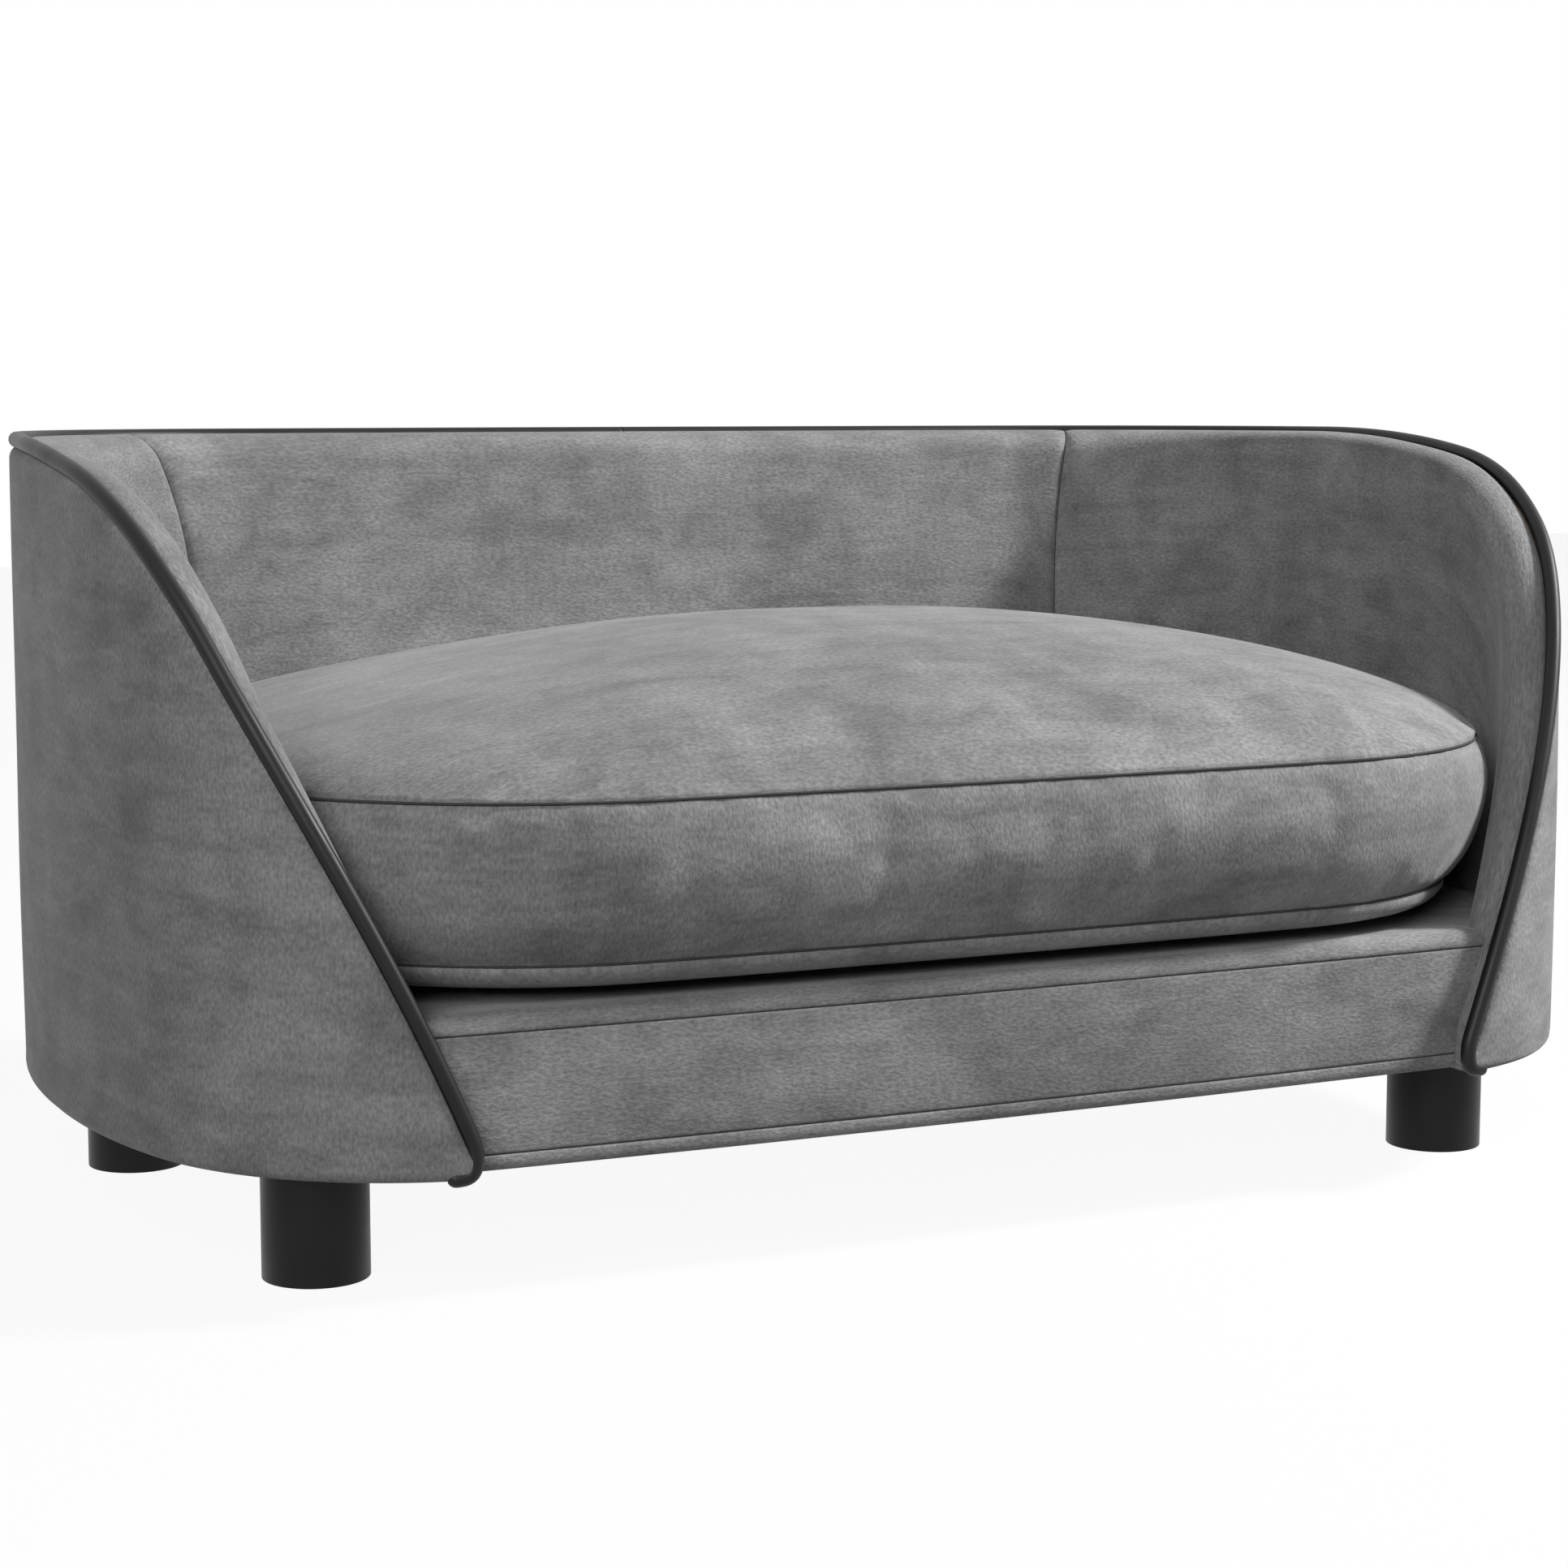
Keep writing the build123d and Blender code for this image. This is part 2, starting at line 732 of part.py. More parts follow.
cushion_front_angle = facing(cushion_front_centre, cushion_corner_centre)
cushion_side_angle = facing(front_side_centre, cushion_corner_centre)
cushion_rear = rear_reach - cushion_inset
cushion_middle = side_y + (cushion_rear - front_reach) / 2
cushion_arcs = (
    (cushion_corner_centre, cushion_corner_radius, cushion_front_angle, cushion_side_angle),
    (front_side_centre, cushion_side_radius, cushion_side_angle, 0),
    (rear_side_centre, rear_side_radius - cushion_inset, 0, rear_side_turn),
    (rear_corner_centre, rear_corner_radius - cushion_inset, rear_side_turn, 90 - back_turn),
)


def cushion_slice(level, inset, share=1):
    """Outline of the cushion at a level, drawn in by an inset and then scaled about its middle."""

    def place(x, y):
        return (x * share, cushion_middle + (y - cushion_middle) * share)

    with BuildSketch(Plane.XY.offset(level)) as region:
        with BuildLine():
            CenterArc(
                place(*cushion_front_centre),
                (cushion_front_radius - inset) * share,
                -180 - cushion_front_angle,
                arc_size=2 * (90 + cushion_front_angle),
            )
            for side in (1, -1):
                for centre, radius, first, last in cushion_arcs:
                    start = first if side > 0 else 180 - first
                    CenterArc(
                        place(side * centre[0], centre[1]),
                        (radius - inset) * share,
                        start,
                        arc_size=side * (last - first),
                    )
                reach = side * (half_width - cushion_inset - inset)
                Line(place(reach, side_y - side_reach), place(reach, side_y + side_reach))
            CenterArc(
                place(*back_centre),
                (back_radius - cushion_inset - inset) * share,
                90 - back_turn,
                arc_size=2 * back_turn,
            )
        make_face()
    return region.sketch


cushion_bottom = deck_top + cushion_lift
base_level = cushion_bottom + (cushion_low_seam - cushion_bottom) * base_level_share
base_step = low_seam_inset + (base_inset - low_seam_inset) * base_inset_share
band_level = cushion_low_seam + (cushion_belly - cushion_low_seam) * band_level_share
band_step = low_seam_inset * band_inset_share


def bottom_zone(inset):
    """Slices of the drawn-in underside."""
    return [
        cushion_slice(cushion_bottom + inset, base_inset + inset),
        cushion_slice(base_level + inset / 2, base_step + inset),
        cushion_slice(cushion_low_seam, low_seam_inset + inset),
    ]


def band_zone(inset):
    """Slices of the bulging band."""
    return [
        cushion_slice(cushion_low_seam, low_seam_inset + inset),
        cushion_slice(band_level, band_step + inset),
        cushion_slice(cushion_belly, inset),
        cushion_slice(cushion_top_seam, top_seam_inset + inset),
    ]


def top_zone(inset):
    """Slices of the crowned top."""
    sections = [cushion_slice(cushion_top_seam, top_seam_inset + inset)]
    for share in dome_shares:
        rise = (cushion_crown - inset) * (1 - share**2) ** dome_power_share
        sections.append(cushion_slice(cushion_top_seam + rise, top_seam_inset + inset, share))
    return sections


cloth_inside = cloth_thickness + cloth_gap
cushion_back = side_y + cushion_rear
zip_floor = cushion_back - zip_depth

with BuildPart() as cushion_core:
    loft(sections=bottom_zone(cloth_inside), ruled=True)
    loft(sections=band_zone(cloth_inside), ruled=True)
    loft(sections=top_zone(cloth_inside), ruled=True)
    with BuildSketch(Plane.XZ.offset(-zip_floor)):
        with Locations((0, zip_level)):
            Rectangle(zip_length + 2 * zip_gap, zip_height + 2 * zip_gap)
    extrude(amount=-zip_depth - overrun, mode=Mode.SUBTRACT)

with BuildPart() as cushion_bottom_panel:
    loft(sections=bottom_zone(0))
    loft(sections=bottom_zone(cloth_thickness), mode=Mode.SUBTRACT)
    split(bisect_by=Plane.XY.offset(cushion_low_seam - seam_gap / 2), keep=Keep.BOTTOM)

with BuildPart() as cushion_band:
    loft(sections=band_zone(0))
    loft(sections=band_zone(cloth_thickness), mode=Mode.SUBTRACT)
    with BuildSketch(Plane.XZ.offset(-zip_floor)):
        with Locations((0, zip_level)):
            Rectangle(zip_length + 2 * zip_gap, zip_height + 2 * zip_gap)
    extrude(amount=-zip_depth - overrun, mode=Mode.SUBTRACT)

with BuildPart() as cushion_top_panel:
    loft(sections=top_zone(0))
    loft(sections=top_zone(cloth_thickness), mode=Mode.SUBTRACT)
    split(bisect_by=Plane.XY.offset(cushion_top_seam + seam_gap / 2), keep=Keep.TOP)

# Zip: the tape in its recess, the row of teeth on it and the slider that grips the teeth
with BuildPart() as zip_tape:
    with BuildSketch(Plane.XZ.offset(-zip_floor)):
        with Locations((0, zip_level)):
            Rectangle(zip_length, zip_height)
    extrude(amount=-zip_tape_thickness)

teeth_floor = zip_floor + zip_tape_thickness
teeth_length = zip_length - 2 * slider_margin
with BuildPart() as zip_teeth:
    with BuildSketch(Plane.XZ.offset(-teeth_floor)):
        with Locations((0, zip_level)):
            Rectangle(teeth_length, zip_teeth_height)
    extrude(amount=-zip_teeth_depth)

slider_height = zip_teeth_height + 2 * (slider_gap + slider_wall)
slider_depth = zip_teeth_depth + slider_wall
slider_rest = (slider_length - teeth_length) / 2 + slider_margin
with BuildPart() as zip_slider:
    with BuildSketch(Plane.XZ.offset(-teeth_floor - slider_gap)):
        with Locations((slider_rest, zip_level)):
            RectangleRounded(slider_length, slider_height, slider_wall)
    extrude(amount=-slider_depth)
    with BuildSketch(Plane.XZ.offset(-teeth_floor)):
        with Locations((slider_rest, zip_level)):
            Rectangle(slider_length + overrun, zip_teeth_height + 2 * slider_gap)
    extrude(amount=-zip_teeth_depth - slider_gap, mode=Mode.SUBTRACT)

pieces = {
    "outer_cover": outer_cover,
    "wall_board": wall_board,
    "wall_foam": wall_foam,
    "arm_foam_left": arm_foam_left,
    "arm_foam_right": arm_foam_right,
    "arm_lining_left": arm_lining_left,
    "arm_lining_right": arm_lining_right,
    "back_lining": back_lining,
    "wall_piping": wall_piping,
    "base_board": base_board,
    "front_rail": front_rail,
    "deck_battens": deck_battens,
    "deck_board": deck_board,
    "deck_pad": deck_pad,
    "rail_hem_strip": rail_hem_strip,
    "rail_face_panel": rail_face_panel,
    "rail_top_panel": rail_top_panel,
    "dust_cover": dust_cover,
    **legs,
    "leg_bolts": leg_bolts,
    "leg_tee_nuts": leg_tee_nuts,
    "cushion_core": cushion_core,
    "cushion_bottom_panel": cushion_bottom_panel,
    "cushion_band": cushion_band,
    "cushion_top_panel": cushion_top_panel,
    "zip_tape": zip_tape,
    "zip_teeth": zip_teeth,
    "zip_slider": zip_slider,
}
for name, piece in pieces.items():
    piece.part.label = name
    export_step(piece.part, f"parts/{name}.step")
    print(name, len(piece.part.solids()), round(piece.part.volume), piece.part.is_valid)
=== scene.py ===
"""Dog sofa bed in grey velvet: padded wall, low box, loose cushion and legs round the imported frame.

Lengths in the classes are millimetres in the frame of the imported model. They become metres where a
mesh is laid.
"""

import bisect
import json
import logging
import math
from collections.abc import Callable, Sequence
from dataclasses import dataclass, field
from enum import Enum

import bpy
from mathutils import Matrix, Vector, noise

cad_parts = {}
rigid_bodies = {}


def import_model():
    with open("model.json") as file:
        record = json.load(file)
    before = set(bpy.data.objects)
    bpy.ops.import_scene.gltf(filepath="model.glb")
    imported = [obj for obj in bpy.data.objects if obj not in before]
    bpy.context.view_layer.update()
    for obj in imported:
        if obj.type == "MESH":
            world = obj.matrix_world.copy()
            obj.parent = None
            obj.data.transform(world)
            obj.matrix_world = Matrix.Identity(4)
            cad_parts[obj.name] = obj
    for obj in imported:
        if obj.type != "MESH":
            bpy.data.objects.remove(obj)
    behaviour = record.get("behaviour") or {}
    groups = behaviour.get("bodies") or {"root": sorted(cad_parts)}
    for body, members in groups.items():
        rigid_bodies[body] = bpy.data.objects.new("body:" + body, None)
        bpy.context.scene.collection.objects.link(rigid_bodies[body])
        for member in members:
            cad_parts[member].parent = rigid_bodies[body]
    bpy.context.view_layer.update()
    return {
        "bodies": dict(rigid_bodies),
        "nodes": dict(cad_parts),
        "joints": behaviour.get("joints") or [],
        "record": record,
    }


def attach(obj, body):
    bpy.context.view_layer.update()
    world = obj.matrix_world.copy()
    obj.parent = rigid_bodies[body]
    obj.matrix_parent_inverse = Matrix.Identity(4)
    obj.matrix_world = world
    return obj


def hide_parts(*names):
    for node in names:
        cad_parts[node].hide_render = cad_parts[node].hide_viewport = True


MM = 0.001
CLOTH_MAP = "cloth"
log = logging.getLogger("dog_sofa_bed")

Place = tuple[float, float, float]
Flat = tuple[float, float]


class Side(Enum):
    """Left and right as seen from the front."""

    LEFT = -1
    RIGHT = 1


class Crinkle(Enum):
    """The way that the fine crinkles of the velvet run, as shares of the pattern's two scales."""

    UPRIGHT = (1.0, 0.5)
    LEVEL = (0.5, 1.0)


# ---------------------------------------------------------------------------------------------
# Small helpers
# ---------------------------------------------------------------------------------------------


def tone(code: str) -> tuple[float, float, float, float]:
    """Turn an sRGB hex code to linear light.

    Args:
        code: Six hex digits after a hash.

    Returns:
        Linear red, green, blue and an alpha of one.
    """
    parts = [int(code[i:i + 2], 16) / 255 for i in (1, 3, 5)]
    linear = [p / 12.92 if p <= 0.04045 else ((p + 0.055) / 1.055) ** 2.4 for p in parts]
    return linear[0], linear[1], linear[2], 1.0


def smooth(low: float, high: float, value: float) -> float:
    """Ease from 0 at low to 1 at high.

    Args:
        low: Where the rise starts.
        high: Where it ends.
        value: The place asked about.

    Returns:
        A share from 0 to 1.
    """
    share = min(1.0, max(0.0, (value - low) / (high - low)))
    return share * share * (3 - 2 * share)


def polar(centre: Flat, radius: float, angle: float) -> Flat:
    """Find a point on a circle.

    Args:
        centre: Middle of the circle.
        radius: Its radius.
        angle: Angle in degrees.

    Returns:
        The point's x and y.
    """
    turn = math.radians(angle)
    return centre[0] + radius * math.cos(turn), centre[1] + radius * math.sin(turn)


def steps(first: float, last: float, pitch: float) -> list[float]:
    """Divide a length evenly.

    Args:
        first: Its start.
        last: Its end.
        pitch: About how long one part is.

    Returns:
        The places of the divisions, both ends with them.
    """
    count = max(1, round(abs(last - first) / pitch))
    return [first + (last - first) * k / count for k in range(count + 1)]


def quarter(first: int, count: int) -> list[Flat]:
    """Divide a quarter turn.

    Args:
        first: Number of the first division that is wanted.
        count: How many parts the quarter has.

    Returns:
        Sine and cosine at each division, up to the last.
    """
    turns = [math.pi / 2 * k / count for k in range(first, count + 1)]
    return [(math.sin(turn), math.cos(turn)) for turn in turns]


def cloth_lengths(profile: Sequence[Flat]) -> list[float]:
    """Measure how far along the cloth each point of a profile is."""
    lengths = [0.0]
    for before, here in zip(profile, profile[1:]):
        lengths.append(lengths[-1] + math.dist(before, here))
    return lengths


def drift(place: Place, wave: float, seed: float = 0.0) -> float:
    """Read a soft random field, for the slack of stuffed cloth.

    Args:
        place: Where it is read.
        wave: Length of its waves.
        seed: Shifts the field, so that pieces differ.

    Returns:
        A value from about -1 to 1.
    """
    return noise.noise(Vector(place) / wave + Vector((seed, seed * 1.7, seed * 0.6)))


def only(piece: bpy.types.Object) -> None:
    """Make a piece the only one selected, and the active one."""
    bpy.ops.object.select_all(action="DESELECT")
    piece.select_set(True)
    bpy.context.view_layer.objects.active = piece


def edit_all(
    piece: bpy.types.Object, operator: Callable[..., set[str]], **settings: object
) -> None:
    """Run a mesh operator on the whole of a piece.

    Args:
        piece: The piece.
        operator: The operator.
        **settings: Its settings.
    """
    only(piece)
    bpy.ops.object.mode_set(mode="EDIT")
    bpy.ops.mesh.select_all(action="SELECT")
    operator(**settings)
    bpy.ops.object.mode_set(mode="OBJECT")


def finish_modifier(piece: bpy.types.Object, kind: str, **settings: object) -> None:
    """Add a modifier to a piece and apply it.

    Args:
        piece: The piece that it works on.
        kind: The modifier's type.
        **settings: Its settings.
    """
    only(piece)
    modifier = piece.modifiers.new(kind.title(), kind)
    for name, value in settings.items():
        setattr(modifier, name, value)
    bpy.ops.object.modifier_apply(modifier=modifier.name)


def lay_cloth(
    name: str,
    points: Sequence[Sequence[Place]],
    spans: Sequence[Sequence[Flat]],
    closed: bool = False,
    thickness: float = 0.0,
) -> bpy.types.Object:
    """Add a grid and lay it over rows of points, as cloth is pulled over a form.

    Args:
        name: Name of the piece.
        points: Rows of points in millimetres. Each row has the same count.
        spans: For each point, how far along and across the cloth it is, in millimetres.
        closed: Whether the rows go all the way round.
        thickness: Thickness of the cloth in millimetres, laid inwards, or 0 for a single face.

    Returns:
        The new object.
    """
    rows, columns = len(points), len(points[0])
    bpy.ops.object.select_all(action="DESELECT")
    bpy.ops.mesh.primitive_grid_add(x_subdivisions=columns - 1, y_subdivisions=rows - 1, size=1)
    piece = bpy.context.object
    piece.name = name
    piece.data.name = name
    mesh = piece.data
    mesh.vertices.foreach_set(
        "co", [value * MM for row in points for point in row for value in point]
    )
    mesh.uv_layers[0].name = CLOTH_MAP
    marks = [(along * MM, across * MM) for row in spans for along, across in row]
    for loop, mark in zip(mesh.loops, mesh.uv_layers[0].data):
        mark.uv = marks[loop.vertex_index]
    mesh.update()
    only(piece)
    if closed:
        edit_all(piece, bpy.ops.mesh.remove_doubles, threshold=0.01 * MM)
    if thickness:
        finish_modifier(piece, "SOLIDIFY", thickness=thickness * MM, offset=-1)
    bpy.ops.object.shade_smooth()
    return piece


def make_tube(name: str, line: Sequence[Place], radius: float, closed: bool) -> bpy.types.Object:
    """Sweep a round section along a line, as cord or thread is laid in a seam.

    Args:
        name: Name of the piece.
        line: Points of its middle line in millimetres.
        radius: Radius in millimetres.
        closed: Whether it is a ring. An open one gets rounded ends.

    Returns:
        The tube as a mesh.
    """
    places = [Vector(place) for place in line]
    shaped = [(place, 1.0) for place in places]
    if not closed:
        for at, toward, where in ((0, 1, 0), (-1, -2, len(shaped))):
            way = (places[at] - places[toward]).normalized() * radius
            caps = [(places[at] + way * reach, share)
                    for reach, share in ((0.35, 0.94), (0.7, 0.72), (0.92, 0.4))]
            if at == 0:
                shaped = list(reversed(caps)) + shaped
            else:
                shaped += caps
    curve = bpy.data.curves.new(name, "CURVE")
    curve.dimensions = "3D"
    curve.bevel_depth = radius * MM
    curve.bevel_resolution = 5 if radius > 2 else 1
    curve.use_fill_caps = not closed
    spline = curve.splines.new("POLY")
    spline.points.add(len(shaped) - 1)
    for point, (place, share) in zip(spline.points, shaped):
        point.co = (*(place * MM), 1)
        point.radius = share
    spline.use_cyclic_u = closed
    tube = bpy.data.objects.new(name, curve)
    bpy.context.scene.collection.objects.link(tube)
    only(tube)
    bpy.ops.object.convert(target="MESH")
    tube = bpy.context.object
    bpy.ops.object.shade_smooth()
    turn_out(tube)
    return tube


def turn_out(piece: bpy.types.Object) -> None:
    """Point all the faces of a closed piece outwards."""
    edit_all(piece, bpy.ops.mesh.normals_make_consistent, inside=False)


def join_pieces(pieces: Sequence[bpy.types.Object], name: str) -> bpy.types.Object:
    """Join pieces into one.

    Args:
        pieces: What is joined.
        name: Name of the result.

    Returns:
        The joined piece.
    """
    bpy.ops.object.select_all(action="DESELECT")
    for piece in pieces:
        piece.select_set(True)
    bpy.context.view_layer.objects.active = pieces[0]
    if len(pieces) > 1:
        bpy.ops.object.join()
    joined = bpy.context.object
    joined.name = name
    return joined


def dress(piece: bpy.types.Object, finish: "Finish") -> None:
    """Give a piece one finish in all its material slots."""
    material = finish.material()
    if not piece.data.materials:
        piece.data.materials.append(material)
    for index in range(len(piece.data.materials)):
        piece.data.materials[index] = material


def hand_over(piece: bpy.types.Object, body: str, finish: "Finish", *nodes: str) -> None:
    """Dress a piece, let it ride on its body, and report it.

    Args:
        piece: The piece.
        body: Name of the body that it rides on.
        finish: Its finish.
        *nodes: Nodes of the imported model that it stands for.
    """
    if not piece.data.materials:
        dress(piece, finish)
    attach(piece, body)
    if nodes:
        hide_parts(*nodes)
    log.info("%s: %d faces on %s", piece.name, len(piece.data.polygons), body)


# ---------------------------------------------------------------------------------------------
# Finishes
# ---------------------------------------------------------------------------------------------


class NodeBench:
    """Builds one node tree, a material's or the world's."""

    def __init__(self, owner: bpy.types.Material | bpy.types.World) -> None:
        """Empty the owner's tree."""
        self.owner = owner
        owner.use_nodes = True
        self.tree = owner.node_tree
        self.tree.nodes.clear()

    def add(self, kind: str, values: dict | None = None, **settings: object) -> bpy.types.Node:
        """Add a node.

        Args:
            kind: Its type.
            values: For each input, by name or number, a constant or the output that feeds it.
            **settings: Its settings.

        Returns:
            The node.
        """
        node = self.tree.nodes.new(kind)
        for name, value in settings.items():
            setattr(node, name, value)
        for socket, value in (values or {}).items():
            if isinstance(value, bpy.types.NodeSocket):
                self.tree.links.new(value, node.inputs[socket])
            else:
                node.inputs[socket].default_value = value
        return node

    def seen(self) -> bpy.types.NodeSocket:
        """Give 1 for rays that the camera sees, also in a gloss, and 0 for bounced light."""
        rays = self.add("ShaderNodeLightPath").outputs
        direct = self.add(
            "ShaderNodeMath", {0: rays["Is Camera Ray"], 1: rays["Is Glossy Ray"]},
            operation="MAXIMUM",
        ).outputs["Value"]
        return self.add(
            "ShaderNodeMath", {0: direct, 1: rays["Is Transmission Ray"]}, operation="MAXIMUM"
        ).outputs["Value"]


class Finish:
    """A finish that is made into a material once."""

    slot: str
    made: dict[str, bpy.types.Material] = {}

    def material(self) -> bpy.types.Material:
        """Give the material, made at the first call."""
        key = repr(self)
        if key not in Finish.made:
            Finish.made[key] = self.make()
        return Finish.made[key]

    def make(self) -> bpy.types.Material:
        """Build the material."""
        raise NotImplementedError


@dataclass(frozen=True)
class ShortPileVelvet(Finish):
    """Polyester velvet with a short crushed pile, brushed by hand into light and dark fields.

    Widths, lengths and depths are in millimetres, and waves are counted in one metre.
    """

    crinkle: Crinkle = Crinkle.UPRIGHT
    dark: str = "#6b6b6c"
    light: str = "#949495"
    sheen: str = "#e4e4e6"
    crinkle_width: float = 1.4
    patch_width: float = 26.0
    broad_ratio: float = 3.6
    streak_length: float = 62.0
    streak_ratio: float = 4.5
    brushed_turn: float = 0.6
    sway_waves: float = 70.0
    sway_reach: float = 0.002
    depth: float = 0.5
    slot: str = "velvet"

    def make(self) -> bpy.types.Material:
        """Pile in patches, fine crinkles that dent the surface and carry painted shade in their
        hollows and painted sheen on their ridges, and a sheen at grazing angles.
        """
        name = f"short-pile velvet, {self.crinkle.name.lower()} crinkle"
        bench = NodeBench(bpy.data.materials.new(name))
        cloth = bench.add("ShaderNodeUVMap", uv_map=CLOTH_MAP).outputs["UV"]
        # Drawn coarser than real: a tuft is about a tenth of a millimetre wide, and the crinkle
        # between the tufts is drawn at crinkle_width, so that it still shows in the picture
        along, across = (share / (self.crinkle_width * MM) for share in self.crinkle.value)
        wander = bench.add(
            "ShaderNodeTexNoise", {"Vector": cloth, "Scale": self.sway_waves, "Detail": 2.0}
        ).outputs["Color"]
        shift = bench.add(
            "ShaderNodeVectorMath", {0: wander, 1: (self.sway_reach, self.sway_reach, 0.0)},
            operation="MULTIPLY",
        ).outputs["Vector"]
        swayed = bench.add(
            "ShaderNodeVectorMath", {0: cloth, 1: shift}, operation="ADD"
        ).outputs["Vector"]
        laid = bench.add(
            "ShaderNodeMapping", {"Vector": swayed, "Scale": (along, across, 1.0)}
        ).outputs["Vector"]
        fine = bench.add(
            "ShaderNodeTexNoise", {"Vector": laid, "Scale": 1.0, "Detail": 3.0, "Roughness": 0.6,
                                   "Distortion": 0.2}
        ).outputs["Fac"]
        # The hand leaves small patches, long streaks and broad fields in the nap
        patches = bench.add(
            "ShaderNodeTexNoise",
            {"Vector": cloth, "Scale": 1 / (self.patch_width * MM), "Detail": 8.0,
             "Roughness": 0.66, "Distortion": 0.4},
        ).outputs["Fac"]
        brushed = bench.add(
            "ShaderNodeMapping", {"Vector": swayed, "Rotation": (0.0, 0.0, self.brushed_turn),
                                  "Scale": (1.0, self.streak_ratio, 1.0)}
        ).outputs["Vector"]
        streaks = bench.add(
            "ShaderNodeTexNoise",
            {"Vector": brushed, "Scale": 1 / (self.streak_length * MM), "Detail": 6.0,
             "Roughness": 0.62, "Distortion": 0.8},
        ).outputs["Fac"]
        nap = bench.add(
            "ShaderNodeTexNoise",
            {"Vector": cloth, "Scale": 1 / (self.patch_width * self.broad_ratio * MM),
             "Detail": 2.0},
        ).outputs["Fac"]
        for layer in (patches, streaks):
            nap = bench.add(
                "ShaderNodeMath", {0: layer, 1: nap}, operation="ADD"
            ).outputs["Value"]
        pile = bench.add(
            "ShaderNodeMapRange",
            {"Value": nap, "From Min": 1.15, "From Max": 1.85, "To Min": 0.0, "To Max": 1.0},
        ).outputs["Result"]
        # Painted shade and painted sheen of the crinkle: the field that dents the surface also
        # darkens the colour in its hollows and lightens it on its ridges
        lines = bench.add(
            "ShaderNodeMapRange",
            {"Value": fine, "From Min": 0.32, "From Max": 0.68, "To Min": 0.72, "To Max": 1.24},
        ).outputs["Result"]
        colour = bench.add(
            "ShaderNodeMix", {"Factor": pile, 6: tone(self.dark), 7: tone(self.light)},
            data_type="RGBA",
        ).outputs[2]
        colour_with_painted_crinkle_shade = bench.add(
            "ShaderNodeVectorMath", {0: colour, "Scale": lines}, operation="SCALE"
        ).outputs["Vector"]
        dented = bench.add(
            "ShaderNodeBump", {"Height": fine, "Strength": 0.8, "Distance": self.depth * MM}
        ).outputs["Normal"]
        shader = bench.add(
            "ShaderNodeBsdfPrincipled",
            {"Base Color": colour_with_painted_crinkle_shade, "Roughness": 0.88, "Specular IOR Level": 0.22,
             "Sheen Weight": 0.32, "Sheen Roughness": 0.42, "Sheen Tint": tone(self.sheen),
             "Normal": dented},
        ).outputs["BSDF"]
        bench.add("ShaderNodeOutputMaterial", {"Surface": shader})
        return bench.owner


@dataclass(frozen=True)
class SeamShadeThread(Finish):
    """Spun polyester thread and pressed cloth deep in a seam, drawn darker than the pile beside it as
    painted shade in the seam's groove.
    """

    dark: str = "#363637"
    light: str = "#4c4c4d"
    twist_waves: float = 900.0
    slot: str = "velvet"

    def make(self) -> bpy.types.Material:
        """Dark grey, the painted shade of the seam's groove, with the twist of the thread."""
        bench = NodeBench(bpy.data.materials.new("spun polyester thread"))
        place = bench.add("ShaderNodeTexCoord").outputs["Object"]
        twist = bench.add(
            "ShaderNodeTexNoise", {"Vector": place, "Scale": self.twist_waves, "Detail": 2.0}
        ).outputs["Fac"]
        colour = bench.add(
            "ShaderNodeMix", {"Factor": twist, 6: tone(self.dark), 7: tone(self.light)},
            data_type="RGBA",
        ).outputs[2]
        shader = bench.add(
            "ShaderNodeBsdfPrincipled", {"Base Color": colour, "Roughness": 0.9,
                                         "Specular IOR Level": 0.15}
        ).outputs["BSDF"]
        bench.add("ShaderNodeOutputMaterial", {"Surface": shader})
        return bench.owner


@dataclass(frozen=True)
class Grained(Finish):
    """A finish with a fine grain: coated cloth, moulded plastic, wood, foam or plated metal.

    The grain's size and depth are in millimetres, and waves are counted in one metre.
    """

    name: str
    slot: str
    dark: str
    light: str
    roughness: float
    grain: float
    depth: float
    metallic: float = 0.0
    coat: float = 0.0
    gloss_level: float = 0.5
    stretch: Place = (1.0, 1.0, 1.0)
    wear_waves: float = 38.0
    wear: float = 0.06

    def make(self) -> bpy.types.Material:
        """Two close tones, a grain of the given size and a little wear in the gloss."""
        bench = NodeBench(bpy.data.materials.new(self.name))
        place = bench.add("ShaderNodeTexCoord").outputs["Object"]
        laid = bench.add(
            "ShaderNodeMapping", {"Vector": place, "Scale": self.stretch}
        ).outputs["Vector"]
        grain = bench.add(
            "ShaderNodeTexNoise",
            {"Vector": laid, "Scale": 1 / (self.grain * MM), "Detail": 3.0, "Roughness": 0.55},
        ).outputs["Fac"]
        worn = bench.add(
            "ShaderNodeTexNoise", {"Vector": place, "Scale": self.wear_waves, "Detail": 4.0}
        ).outputs["Fac"]
        colour = bench.add(
            "ShaderNodeMix", {"Factor": worn, 6: tone(self.dark), 7: tone(self.light)},
            data_type="RGBA",
        ).outputs[2]
        gloss = bench.add(
            "ShaderNodeMapRange",
            {"Value": worn, "From Min": 0.3, "From Max": 0.7,
             "To Min": self.roughness - self.wear, "To Max": self.roughness + self.wear},
        ).outputs["Result"]
        dented = bench.add(
            "ShaderNodeBump", {"Height": grain, "Strength": 0.5, "Distance": self.depth * MM}
        ).outputs["Normal"]
        shader = bench.add(
            "ShaderNodeBsdfPrincipled",
            {"Base Color": colour, "Roughness": gloss, "Metallic": self.metallic,
             "Coat Weight": self.coat, "Specular IOR Level": self.gloss_level, "Normal": dented},
        ).outputs["BSDF"]
        bench.add("ShaderNodeOutputMaterial", {"Surface": shader})
        return bench.owner


